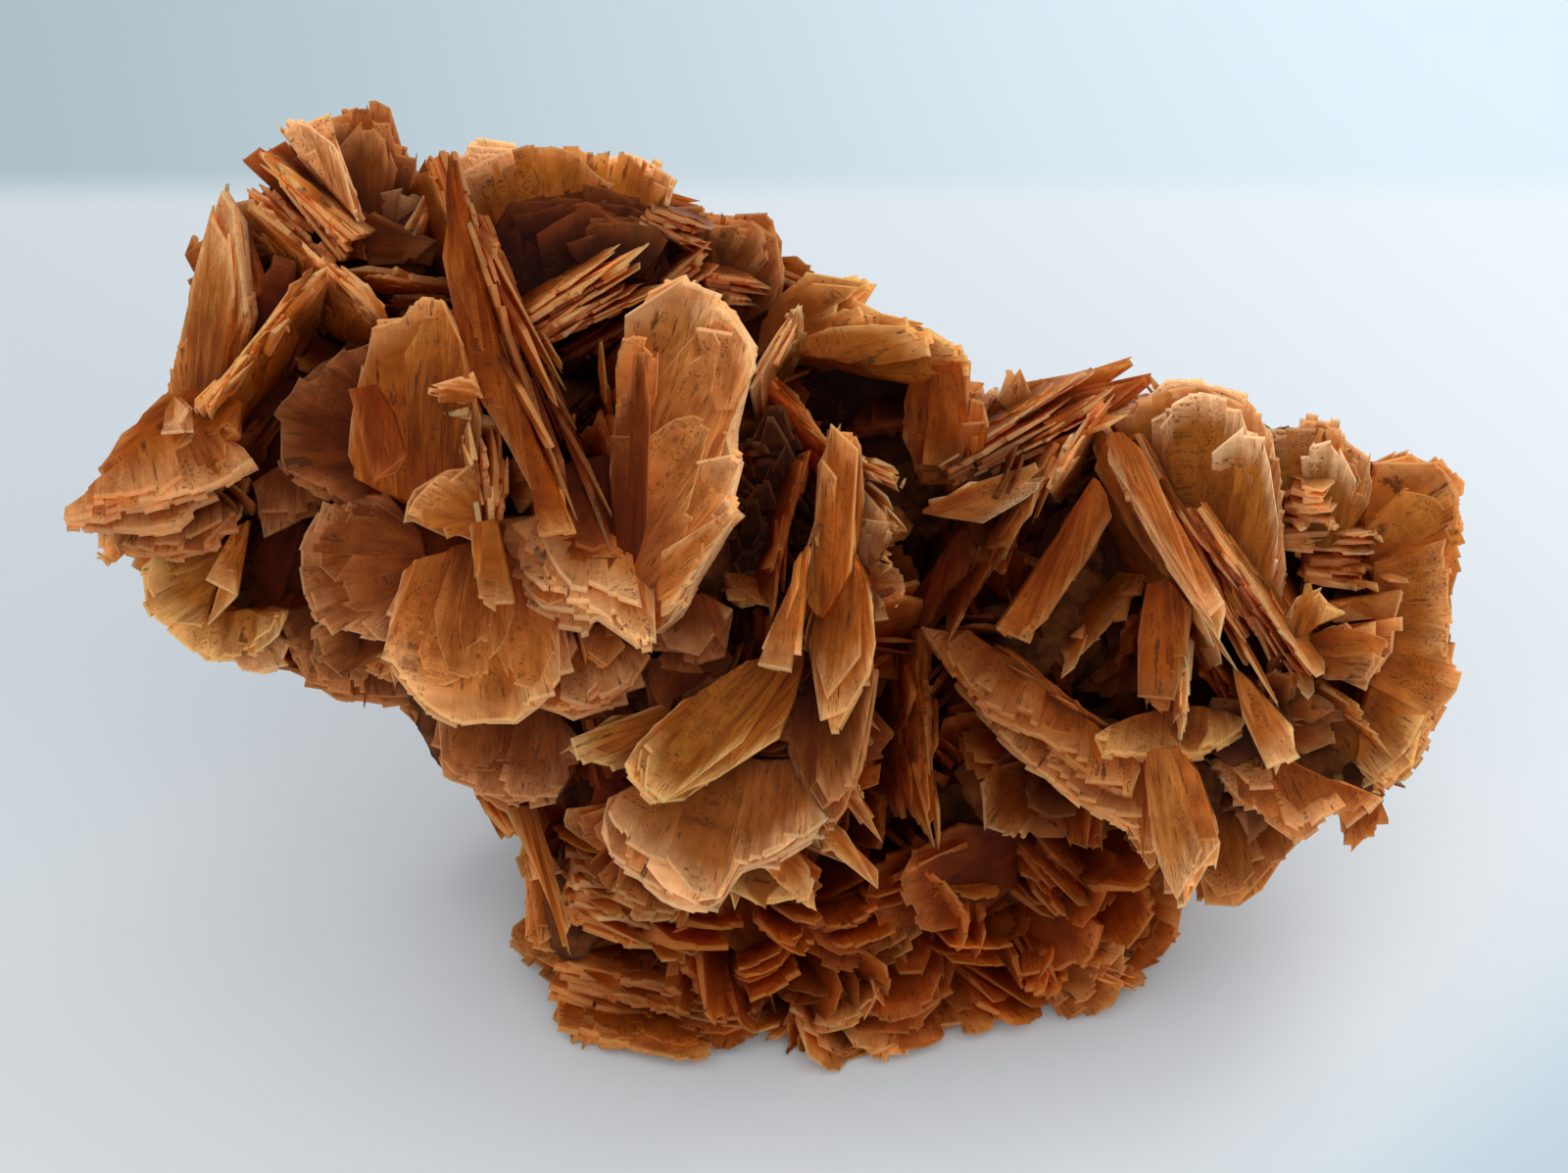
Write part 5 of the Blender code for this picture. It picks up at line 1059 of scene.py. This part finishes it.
def add_mosaic(pile, rng, onto, outline, tones):
    """Small square-cornered steps on a face, all set the same way."""
    low = [min(values) for values in zip(*outline)]
    high = [max(values) for values in zip(*outline)]
    for number in range(TILES):
        x, y = (rng.uniform(*side) for side in zip(low, high))
        if not covers(outline, x, y):
            continue
        wide, tall = rng.uniform(*TILE_WIDE), rng.uniform(*TILE_TALL)
        tile = [(x - wide, y - tall), (x + wide, y - tall), (x + wide, y + tall), (x - wide, y + tall)]
        hub = (x, y - TILE_HUB)
        strips = strips_of(rng, tile, hub, MOSAIC_CUT)
        height = TILE_THICKNESS + TILE_STEP * number
        own = varied(rng, tones, TILE_TONE_VARIED)
        add_sheet(pile, rng, onto, strips, hub, height, TILE_THICKNESS, own, relief=0.0)


def out_at(blade, across, up):
    """How far out a broad blade's plane lies at a place in the layout."""
    middle = middle_of(blade.outline)
    return blade.depth + blade.tilt[0] * (across - middle[0]) + blade.tilt[1] * (up - middle[1])


def add_broad_blade(pile, blade):
    """A stack of sheets seen on their faces."""
    hub, outline = blade.hub, blade.outline
    rng = random.Random(blade.name)
    normal = direction(-blade.tilt[0], -blade.tilt[1], 1)
    middle = middle_of(outline)
    bend = rng.uniform(-BROAD_BEND, BROAD_BEND)
    twist = rng.uniform(-BROAD_BEND, BROAD_BEND)

    def onto(x, y, lift):
        dx, dy = x - middle[0], y - middle[1]
        out = out_at(blade, x, y) + bend * dx * dx + twist * dx * dy
        return placed(x, y, out) + normal * lift * MM

    tones = TONES[blade.tone]
    smooth = blade.name in SMOOTH_FACED
    pitch = blade.stack / blade.sheets
    for number in range(blade.sheets):
        behind = blade.sheets - 1 - number
        reach = 1 - rng.uniform(0, SMOOTH_LOSS) if smooth else 1 - rng.uniform(*TERRACE_LOSS) * behind
        own_hub = strayed(rng, hub, BROAD_HUB_STRAY)
        strips = strips_of(rng, weathered(rng, outline), own_hub, BROAD_CUT, reach=reach)
        faded = blade.tone == "crown" and not smooth
        shown = fainter(tones, CROWN_FAINTER * behind / blade.sheets) if faded else tones
        add_sheet(pile, rng, onto, strips, own_hub, -number * pitch, pitch * SHEET_SHARE, varied(rng, shown))
    if blade.tone == "mosaic":
        add_mosaic(pile, rng, onto, outline, tones)
        return
    area = area_of(outline)
    add_scales(pile, rng, onto, outline, hub, 0, tones, int(1 + area / SCALE_AREA))
    if blade.name not in FLAT:
        for number in range(int(area / RISING_AREA)):
            add_rising_leaf(pile, rng, onto, blade, RISING_STEP * number)


def add_rising_leaf(pile, rng, onto, blade, lift_off):
    """A partial sheet that rises off a broad blade's face towards its rim."""
    slope = rng.uniform(*RISING_SLOPE)
    width = rng.uniform(*RISING_SPAN)
    begin = rng.uniform(0, 1 - width)
    hub = strayed(rng, blade.hub, RISING_HUB_STRAY)
    reach = rng.uniform(*RISING_REACH)
    outline = weathered(rng, blade.outline)
    taper = rng.uniform(*RISING_TAPER)
    strips = strips_of(rng, outline, hub, RISING_CUT, (begin, begin + width), reach, taper)
    root = min(strips[1])

    def risen(x, y, lift):
        away = math.hypot(x - hub[0], y - hub[1]) - root
        return onto(x, y, lift + slope * max(away, 0) + lift_off)

    thickness = rng.uniform(*RISING_THICKNESS)
    tones = varied(rng, TONES[blade.tone])
    add_sheet(pile, rng, risen, strips, hub, thickness + RISING_GAP, thickness, tones)


def add_book(pile, book):
    """Parallel sheets seen on their rims, fanned out from the root."""
    rng = random.Random(book.name)
    start = placed(*book.root)
    along = placed(*book.tip) - start
    length = along.length / MM
    grain = along.normalized()
    normal = direction(*book.facing)
    normal = (normal - normal.dot(grain) * grain).normalized()
    backwards = grain.cross(normal)
    if backwards.dot(direction(0, 0, 1)) > 0:
        backwards.negate()
    upright = grain.cross(backwards)
    outline = [(share * length, depth * book.breadth) for share, depth in LEAF]
    hub = (LEAF_HUB[0] * length, LEAF_HUB[1] * book.breadth)
    for number, (depth, thickness) in enumerate(split_up(rng, book.stack, book.sheets)):
        place = (depth + thickness / 2) / book.stack - 0.5
        fan = -place * book.spread / length + rng.uniform(-BOOK_FAN_STRAY, BOOK_FAN_STRAY)
        turn = Matrix.Rotation(fan, 3, backwards)
        turn = turn @ Matrix.Rotation(rng.uniform(-BOOK_ROLL_STRAY, BOOK_ROLL_STRAY), 3, upright)
        shift = normal * (place * book.stack * MM)
        recess = backwards * rng.uniform(*BOOK_RECESS) * MM
        share = 1 - BOOK_LOSS * rng.random() ** 2
        tones = varied(rng, TONES[book.tone])

        def onto(x, y, lift):
            flat = grain * x + backwards * y + upright * lift
            return start + shift + recess + turn @ (flat * MM)

        bow = rng.uniform(*BOOK_BOW)
        leaf = [(x * share, y + bow * 4 * x / length * (1 - x / length)) for x, y in outline]
        strips = strips_of(rng, leaf, hub, BOOK_CUT)
        tip = length * share
        add_sheet(pile, rng, onto, strips, hub, thickness / 2, thickness, tones, BOOK_RELIEF, tip)
        if number in (0, book.sheets - 1):
            side = thickness / 2 if number else -thickness / 2
            scales = int(1 + area_of(leaf) / SCALE_AREA_ON_BOOK)
            add_scales(pile, rng, onto, leaf, hub, side, tones, scales, under=number == 0)
    for _number in range(int(2 + length / SLIVER_SPACING)):
        add_sliver(pile, rng, book, start, (grain, backwards, upright), length)


def add_sliver(pile, rng, book, start, axes, length):
    """A thin splinter that lies along a book and ends free beside its rim."""
    grain, backwards, upright = axes
    across = backwards * rng.uniform(*SLIVER_BACK)
    across = across + upright * (rng.uniform(-SLIVER_ASIDE, SLIVER_ASIDE) * book.stack)
    root = start + (grain * rng.uniform(*SLIVER_START) * length + across) * MM
    in_plane, out_of_plane = (rng.uniform(-stray, stray) for stray in SLIVER_TURNS)
    turn = Matrix.Rotation(in_plane, 3, upright) @ Matrix.Rotation(out_of_plane, 3, backwards)
    reach = turn @ grain * rng.uniform(*SLIVER_LENGTH) * length
    reach = reach - backwards * rng.uniform(*SLIVER_FORWARDS)
    tip = shortened(root, root + reach * MM, SLIVER_MARGIN)
    breadth, thickness = rng.uniform(*SLIVER_BREADTH), rng.uniform(*SLIVER_THICKNESS)
    add_petal(pile, rng, root, tip, breadth, thickness, backwards, TONES[book.tone])


def add_petal(pile, rng, start, tip, breadth, thickness, aside, tones, sheets=0):
    """A blade that stands on its root, as a few sheets that splay towards a chiselled tip. Aside is a
    direction that lies in the blade, across its length. The thickness gives the number of sheets
    where none is stated."""
    along = tip - start
    length = along.length / MM
    grain = along.normalized()
    aside = (aside - aside.dot(grain) * grain).normalized()
    normal = grain.cross(aside)
    hub = (PETAL_HUB[0] * length, PETAL_HUB[1])
    shape = rng.choice(PETALS)
    depths = split_up(rng, thickness, sheets or max(1, round(thickness / SHEET_PITCH)))
    for number, (depth, sheet) in enumerate(depths):
        splay = Matrix.Rotation((depth / thickness - 0.5) * rng.uniform(*PETAL_SPLAY), 3, aside)
        swing = Matrix.Rotation(rng.uniform(-PETAL_SWING, PETAL_SWING) if number else 0, 3, normal)
        turn = splay @ swing
        scale = 1 - PETAL_LOSS * rng.random() ** 2 if number else 1
        bow = rng.uniform(-PETAL_BOW, PETAL_BOW)
        leaf = []
        for corner in shape:
            x, y = (value * rng.uniform(*share) for value, share in zip(corner, PETAL_CORNERS))
            leaf.append((x * length * scale, y * breadth))

        def onto(x, y, lift):
            return start + turn @ ((grain * x + aside * y + normal * (lift + bow * x * x)) * MM)

        strips = strips_of(rng, leaf, hub, PETAL_CUT)
        add_sheet(pile, rng, onto, strips, hub, -depth, sheet, varied(rng, tones), tip=length * scale)


def rolled(start, tip, roll):
    """The direction across a blade from start to tip that is turned about its length by the roll."""
    grain = (tip - start).normalized()
    aside = grain.orthogonal().normalized()
    aside.rotate(Matrix.Rotation(roll, 3, grain))
    return aside


def heart_blades(rng):
    """Start, tip, breadth, thickness and roll of each blade that radiates from a heart, with the
    places in metres, drawn in the frame's own order."""
    for middle, reach, count in HEARTS:
        for x, y, out in around_a_ball(count):
            far = (x * reach[0], y * reach[1], out * (reach[2] if out > 0 else reach[3]))
            start = placed(*(m + HEART_START * f for m, f in zip(middle, far)))
            tip = placed(*(m + rng.uniform(*HEART_REACH) * f for m, f in zip(middle, far)))
            breadth = rng.uniform(*HEART_BREADTH) * (tip - start).length / MM
            yield start, tip, breadth, rng.uniform(*HEART_THICKNESS), rng.uniform(0, math.pi)


def base_blades(rng):
    """The same for the large blades that stand on the base."""
    for height, count in BASE_RINGS:
        narrow = math.sqrt(max(BASE_NARROWEST, 1 - (height / BASE_TOP) ** 2))
        for number in range(count):
            turn = 2 * math.pi * (number + rng.uniform(-BASE_STRAY, BASE_STRAY)) / count
            way = (math.cos(turn), math.sin(turn))
            outwards = Vector((*way, rng.uniform(*BASE_RISE)))
            foot = in_part_axes((
                *(m + BASE_ROOT * narrow * r * w for m, r, w in zip(BASE_MIDDLE, BASE_REACH, way)),
                height,
            ))
            length, breadth, thickness = (side * rng.uniform(*BASE_VARIED) for side in BASE_BLADE)
            tip = foot + outwards.normalized() * length * MM
            yield foot, tip, breadth, thickness, rng.uniform(0, math.pi)


def skirt_blades(rng):
    """Start, tip, breadth and thickness of the blades round the foot of the base."""
    middle = Vector((BASE_MIDDLE[0] - CENTRE_ACROSS, BASE_MIDDLE[1] + CENTRE_BACK, 0))
    for across, up in FOOTPRINT:
        heights = (SKIRT_LOW, rng.uniform(*SKIRT_MIDDLE), rng.uniform(*SKIRT_HIGH))
        for height, inset in zip(heights, SKIRT_INSETS):
            foot = on_ground(across, up) / MM
            inwards = (middle - foot).normalized()
            sideways = Vector((-inwards.y, inwards.x, 0)) * rng.uniform(-SKIRT_ASIDE, SKIRT_ASIDE)
            tip = foot + inwards * inset + Vector((0, 0, height))
            start = tip + inwards * rng.uniform(*SKIRT_DEEPER) + sideways
            start = start + Vector((0, 0, rng.uniform(*SKIRT_HIGHER)))
            yield start * MM, tip * MM, rng.uniform(*SKIRT_BREADTH), rng.uniform(*SKIRT_THICKNESS)


def lumps():
    """Each lump of the core as the matrix that makes it from a unit ball."""
    leaning = Matrix((direction(1, 0, 0), direction(0, 1, 0), direction(0, 0, 1))).transposed().to_4x4()
    found = [
        Matrix.Translation(placed(*middle)) @ leaning @ Matrix.Diagonal((*(r * MM for r in radii), 1))
        for middle, radii in CORE
    ]
    middle, radii = BASE_MASS
    found.append(Matrix.Translation(in_part_axes(middle)) @ Matrix.Diagonal((*(r * MM for r in radii), 1)))
    return found


def shortened(start, tip, margin=OUTLINE_MARGIN):
    """The tip, drawn back towards the start until it lies inside the specimen's outline."""
    for _step in range(DRAWN_TIMES):
        across, up, _out = layout_of(tip)
        corners = [(across + margin * x, up + margin * y) for x, y in ((1, 0), (-1, 0), (0, 1), (0, -1))]
        if all(covers(SILHOUETTE, *corner) for corner in corners):
            break
        tip = start + (tip - start) * DRAWN_BACK
    return tip


def is_bare(tip):
    """Whether a tip lies where the crust leaves the layout bare."""
    across, up, _out = layout_of(tip)
    return any(covers(outline, across, up) for outline in BARE)


def headroom(across, up):
    """How far out a hidden crystal may reach at a place in the layout without piercing a broad blade."""
    over = [blade for blade in BROAD_BLADES if covers(blade.outline, across, up)]
    behind = [out_at(blade, across, up) - blade.stack - HIDDEN_ROOM for blade in over]
    return min(behind, default=math.inf)


def side_of(across):
    """The lobe that a place in the layout belongs to."""
    return "left" if across < LOBES_MEET else "right"


def area_of_lump(shape):
    """The surface of an ellipsoid in square mm, by Thomsen's formula."""
    power = 1.6
    a, b, c = (shape.col[axis].length / MM for axis in range(3))
    return 4 * math.pi * (((a * b) ** power + (a * c) ** power + (b * c) ** power) / 3) ** (1 / power)


def crust_spots(shapes, inverses):
    """Places spread over the lumps where no other lump covers them: each lump's kind of crust and its
    side of the specimen, the place, and the way outwards."""
    for index, shape in enumerate(shapes):
        base = index >= len(shapes) - BASE_LUMPS
        kind = BASE_CRUST if base else UPPER_CRUST
        side = "base" if base else side_of(CORE[index][0][0])
        others = inverses[:index] + inverses[index + 1:]
        for way in around_a_ball(int(area_of_lump(shape) / kind.area)):
            place = shape @ Vector(way)
            covered = any((inverse @ place).length < CRUST_COVERED for inverse in others)
            if place.z >= CRUST_LOWEST and not covered:
                outwards = (shape.to_3x3().inverted().transposed() @ Vector(way)).normalized()
                yield kind, side, place, outwards


def add_crust(regions, rng):
    """Small blades that stand out of the lumps all over, where nothing else covers them."""
    shapes = lumps()
    inverses = [shape.inverted() for shape in shapes]
    facing = direction(0, 0, 1)
    for kind, side, place, outwards in crust_spots(shapes, inverses):
        showing = kind is UPPER_CRUST and outwards.dot(facing) > CRUST_FRONT
        stray = Vector(rng.gauss(0, 1) for _ in range(3)) * kind.stray
        grain = (outwards + stray).normalized()
        start = place - outwards * CRUST_ROOT * MM
        reach = rng.uniform(*kind.reach) * (CRUST_SHORTER if showing else 1.0)
        tip = start + grain * reach * MM
        if is_bare(tip):
            continue
        across, up, out = layout_of(tip)
        room = headroom(across, up)
        if out > room:
            tip -= facing * (out - room) * MM
        tip.z = max(tip.z, rng.uniform(*CRUST_FOOT) * MM)
        tip = shortened(start, tip)
        length = (tip - start).length / MM
        if length < CRUST_LEAST or any((inverse @ tip).length < CRUST_SUNK for inverse in inverses):
            continue
        breadth = rng.uniform(*kind.breadth) * length
        thickness = rng.uniform(*kind.thickness)
        tone = rng.choice(CRUST_TONES)
        # Showing blades take the dark tone as painted shade of their hollows.
        if side == "base" or showing:
            tone = "base" if side == "base" else "dark"
        aside = rolled(start, tip, rng.uniform(0, math.pi))
        sheets = rng.choice(kind.sheets) if kind.sheets else 0
        pile = regions[f"{side}_crust_blades"]
        add_petal(pile, rng, start, tip, breadth, thickness, aside, TONES[tone], sheets)


def make_core(material):
    """The dark mass between the crystals: the lumps joined and roughened."""
    pieces = []
    for shape in lumps():
        bpy.ops.mesh.primitive_ico_sphere_add(subdivisions=3, radius=BALL)
        ball = bpy.context.object
        ball.data.transform(shape)
        for vert in ball.data.vertices:
            vert.co.z = max(vert.co.z, SKIN_FOOT)
        pieces.append(ball)
    for ball in pieces:
        ball.select_set(True)
    bpy.context.view_layer.objects.active = pieces[0]
    bpy.ops.object.join()
    core = bpy.context.object
    core.name = "crystal_core"
    remesh = core.modifiers.new("one skin", "REMESH")
    remesh.mode = "VOXEL"
    remesh.voxel_size = SKIN_CELL
    bpy.ops.object.modifier_apply(modifier=remesh.name)
    normals = [vert.normal.copy() for vert in core.data.vertices]
    for vert, normal in zip(core.data.vertices, normals):
        rough = noise.fractal(vert.co / SKIN_GRAIN, 0.9, 2.0, 3)
        vert.co = within_box(vert.co + normal * rough * SKIN_ROUGHNESS)
    dress(core, material)


COLOUR_MIX = (0, 6, 7)  # a mix node's sockets for colours: the factor and the two colours
COLOUR_MIXED = 2


class Nodes:
    """A short way to lay out a material's nodes. A socket is set to a value or linked to another."""

    def __init__(self, name):
        self.material = bpy.data.materials.new(name)
        self.material.use_nodes = True
        self.tree = self.material.node_tree
        self.shader = self.tree.nodes["Principled BSDF"]

    def set(self, socket, value):
        if isinstance(value, bpy.types.NodeSocket):
            self.tree.links.new(value, socket)
        else:
            socket.default_value = value

    def add(self, kind, inputs=(), **settings):
        node = self.tree.nodes.new(kind)
        for key, value in settings.items():
            setattr(node, key, value)
        for key, value in dict(inputs).items():
            self.set(node.inputs[key], value)
        return node

    def shade(self, **inputs):
        """Set the shader's own sockets, each named with _ for a space, and return the material."""
        for key, value in inputs.items():
            self.set(self.shader.inputs[key.replace("_", " ")], value)
        return self.material

    def attribute(self, name, output="Fac"):
        return self.add("ShaderNodeAttribute", attribute_name=name).outputs[output]

    def object_place(self):
        return self.add("ShaderNodeTexCoord").outputs["Object"]

    def math(self, operation, first, second):
        return self.add("ShaderNodeMath", {0: first, 1: second}, operation=operation).outputs[0]

    def spread(self, value, low, high, to_low=0.0, to_high=1.0):
        """The value's way from low to high as a smooth step."""
        node = self.add(
            "ShaderNodeMapRange",
            {"Value": value, "From Min": low, "From Max": high, "To Min": to_low, "To Max": to_high},
            interpolation_type="SMOOTHSTEP",
        )
        return node.outputs[0]

    def noise(self, vector, scale, detail=3.0, rough=0.55):
        """Noise of a size of its own along each axis, or of one size along all three."""
        if not isinstance(scale, float):
            vector = self.add("ShaderNodeVectorMath", {0: vector, 1: scale}, operation="MULTIPLY").outputs[0]
            scale = 1.0
        inputs = {"Vector": vector, "Scale": scale, "Detail": detail, "Roughness": rough}
        return self.add("ShaderNodeTexNoise", inputs).outputs["Fac"]

    def mix(self, factor, first, second, blend="MIX"):
        node = self.add("ShaderNodeMix", data_type="RGBA", blend_type=blend)
        for socket, value in zip(COLOUR_MIX, (factor, first, second)):
            self.set(node.inputs[socket], value)
        return node.outputs[COLOUR_MIXED]

    def times(self, first, second):
        """One colour multiplied by another."""
        return self.mix(1.0, first, second, "MULTIPLY")

    def bump(self, height, strength, distance):
        inputs = {"Strength": strength, "Distance": distance, "Height": height}
        return self.add("ShaderNodeBump", inputs).outputs[0]


def crystal_material(name, subsurface, roughness, specular):
    """Striated translucent barite: colour from the tone, pale towards the rim partly as painted glow, with
    painted shade far from the rim and where little light reaches, a painted highlight on the outermost rim,
    and dark dust in cracks.
    """
    nodes = Nodes(name)
    grain = nodes.attribute("grain", "Vector")
    edge = nodes.attribute("edge")
    face_tone = nodes.attribute("face_tone", "Color")
    rim_tone = nodes.attribute("rim_tone", "Color")

    # Painted shade: darker far in from the rim, towards the roots that lie in the crevices.
    depth = nodes.spread(edge, *DEEPER)
    root_shaded = nodes.times(face_tone, ROOT_SHADE)
    # Paler towards the rim: partly the thin crystal's own colour, partly painted glow of light shining
    # through it.
    rim = nodes.spread(edge, *AT_RIM)
    colour = nodes.mix(rim, nodes.mix(depth, face_tone, root_shaded), rim_tone)
    # Painted shade and light: darker where little light from all round reaches through the cluster, lighter
    # in the open.
    light = nodes.spread(nodes.attribute("light"), *IN_LIGHT)
    colour = nodes.times(colour, nodes.mix(light, SHADED, LIT))

    fibres = nodes.noise(grain, (5.0, 0.25, 5.0), 4.0, 0.6)
    clouds = nodes.noise(grain, (0.22, 0.18, 0.6), 2.0)
    mottle = nodes.noise(grain, (0.9, 0.6, 0.8), 4.0, 0.6)
    for pattern, (low, high, darker, lighter) in ((fibres, FIBRES), (clouds, CLOUDS), (mottle, MOTTLE)):
        colour = nodes.times(colour, nodes.mix(nodes.spread(pattern, low, high), darker, lighter))

    specks = nodes.noise(grain, (5.5, 4.5, 1.0), 4.0, 0.7)
    patches = nodes.noise(grain, (0.3, 0.3, 1.0), 3.0)
    specks = nodes.math(
        "MULTIPLY", nodes.spread(specks, *SPECKED), nodes.spread(patches, *IN_SPECKED_PATCH)
    )
    colour = nodes.mix(nodes.math("MULTIPLY", specks, SPECK_STRENGTH), colour, SPECK)
    cracks = nodes.noise(grain, (2.4, 0.4, 1.0), 5.0, 0.7)
    cracks = nodes.math(
        "MULTIPLY", nodes.spread(cracks, *CRACKED), nodes.spread(patches, *IN_CRACKED_PATCH)
    )
    colour = nodes.mix(nodes.math("MULTIPLY", cracks, CRACK_STRENGTH), colour, CRACK)
    # Painted highlight: the outermost rim lighter, the more so where more light reaches it.
    line = nodes.math("MULTIPLY", nodes.spread(edge, *AT_HIGHLIGHT), nodes.spread(light, *HIGHLIGHT_IN_LIGHT))
    colour = nodes.mix(line, colour, nodes.times(rim_tone, RIM_HIGHLIGHT))

    nodes.shader.subsurface_method = "BURLEY"
    return nodes.shade(
        Base_Color=colour,
        Normal=nodes.bump(fibres, 0.3, 0.00006),
        Roughness=nodes.spread(fibres, *SMOOTH_FIBRES, roughness - 0.08, roughness + 0.1),
        Subsurface_Weight=subsurface,
        Subsurface_Radius=(1.0, 0.4, 0.15),
        Subsurface_Scale=0.002,
        IOR=1.636,  # barite's own
        Specular_IOR_Level=specular,
    )


def core_material():
    """Dusty red-brown ground mass."""
    nodes = Nodes("barite_ground_mass")
    coarse = nodes.noise(nodes.object_place(), 420.0, 4.0)
    return nodes.shade(
        Base_Color=nodes.mix(nodes.spread(coarse, 0.35, 0.65), GROUND_DARK, GROUND_LIGHT),
        Normal=nodes.bump(coarse, 0.6, 0.0004),
        Roughness=0.8,
        Specular_IOR_Level=0.05,
    )


def make_crystals():
    """All the pieces, by region of the layout."""
    blade = crystal_material("barite_blade", subsurface=1.0, roughness=0.42, specular=0.03)
    glassy = crystal_material("barite_glassy", subsurface=0.8, roughness=0.22, specular=0.08)
    regions = defaultdict(Pile)
    for row in BROAD_BLADES:
        kind = "glassy" if row.tone == "glass" else "broad"
        add_broad_blade(regions[f"{side_of(middle_of(row.outline)[0])}_{kind}_blades"], row)
    for row in BOOKS:
        kind = "glassy" if row.tone == "glass" else "book"
        add_book(regions[f"{side_of(row.root[0])}_{kind}_blades"], row)

    rng = random.Random("radiating")
    pile = regions["radiating_blades"]
    own = random.Random(SEED)
    for start, tip, breadth, thickness, roll in (*heart_blades(own), *base_blades(own)):
        aside = rolled(start, tip, roll)
        tone = TONES[rng.choice(("orange", "base", "rust", "brown"))]
        add_petal(pile, rng, start, shortened(start, tip), breadth, thickness, aside, tone)
    for start, tip, breadth, thickness in skirt_blades(random.Random("skirt")):
        tone = TONES[rng.choice(("orange", "rust", "base", "honey"))]
        grain = (tip - start).normalized()
        aside = grain.cross(Vector((0, 0, 1)))
        aside.rotate(Matrix.Rotation(rng.gauss(0, SKIRT_ROLL), 3, grain))
        if not is_bare(tip):
            add_petal(pile, rng, start, tip, breadth, thickness, aside, tone, rng.choice((2, 3)))
    add_crust(regions, random.Random("crust"))

    light = light_field(regions.values())
    for name, pile in regions.items():
        pile.object(name, glassy if "glassy" in name else blade, light)


def make_floor():
    """A sheet of white paper lying on a pale blue table, both painted lighter towards the window at the
    right, the paper's front painted lighter over the specimen's shadow, and darker and bluer towards its
    front right corner.
    """
    bpy.ops.mesh.primitive_plane_add(size=3.0)
    floor = bpy.context.object
    floor.name = "floor"
    nodes = Nodes("pale_floor")
    axes = nodes.add("ShaderNodeSeparateXYZ", {0: nodes.object_place()})
    along_x, along_y = axes.outputs["X"], axes.outputs["Y"]
    beyond = nodes.spread(along_y, PAPER_EDGE - PAPER_BLUR, PAPER_EDGE + PAPER_BLUR)
    # Painted light: lighter towards the window at the right.
    table = nodes.mix(nodes.spread(along_x, *TABLE_SIDES), TABLE_LEFT, TABLE_RIGHT)
    paper = nodes.mix(nodes.spread(along_x, *PAPER_SIDES), PAPER_LEFT, PAPER_RIGHT)
    # Painted light: the paper lighter towards the front, over the specimen's shadow.
    paper = nodes.times(paper, nodes.mix(nodes.spread(along_y, *PAPER_DEPTH), PAPER_FRONT, PAPER_BACK))
    corner = nodes.spread(nodes.math("SUBTRACT", along_x, along_y), *PAPER_DIAGONAL)
    paper = nodes.mix(corner, paper, PAPER_CORNER)
    material = nodes.shade(
        Base_Color=nodes.mix(beyond, paper, table),
        Roughness=0.6,
        Specular_IOR_Level=0.2,
    )
    floor.data.materials.append(material)
    floor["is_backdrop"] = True


def make_camera():
    """The camera at the layout's eye point, looking square onto the display plane."""
    camera = bpy.data.objects.new("camera", bpy.data.cameras.new("camera"))
    bpy.context.scene.collection.objects.link(camera)
    across, up, out = direction(1, 0, 0), direction(0, 1, 0), direction(0, 0, 1)
    turn = Matrix((across, up, out)).transposed().to_4x4()
    camera.matrix_world = Matrix.Translation(placed(0, 0, 0) + out * EYE_DISTANCE * MM) @ turn
    camera.data.sensor_width = SENSOR_WIDTH
    camera.data.lens = SENSOR_WIDTH * EYE_DISTANCE / (IMAGE_WIDTH / PIXELS_PER_MM)
    camera.data.clip_start = 0.01
    bpy.context.scene.camera = camera


def make_light():
    """An even pale room and one window behind the specimen, to the right."""
    world = bpy.data.worlds.new("soft room light")
    world.use_nodes = True
    sky = world.node_tree.nodes["Background"]
    sky.inputs["Color"].default_value = (0.92, 0.96, 1.0, 1)
    sky.inputs["Strength"].default_value = 0.92
    bpy.context.scene.world = world
    window = bpy.data.lights.new("window", "AREA")
    window.shape = "RECTANGLE"
    window.size = window.size_y = 0.20
    window.energy = 0.45
    window.color = (1.0, 0.99, 0.97)
    place, aim = Vector((0.20, 0.24, 0.30)), Vector((0.04, 0.02, 0.02))
    obj = bpy.data.objects.new("window", window)
    obj.location = place
    obj.rotation_euler = (aim - place).to_track_quat("-Z", "Y").to_euler()
    bpy.context.scene.collection.objects.link(obj)


for obj in [o for o in bpy.data.objects if o.type in ("CAMERA", "LIGHT")]:
    bpy.data.objects.remove(obj)
bpy.context.scene.view_settings.view_transform = "Standard"
make_camera()
make_light()
make_floor()
make_core(core_material())
make_crystals()

[[list(corner) for corner in box] for box in (CAD_BOX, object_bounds())]
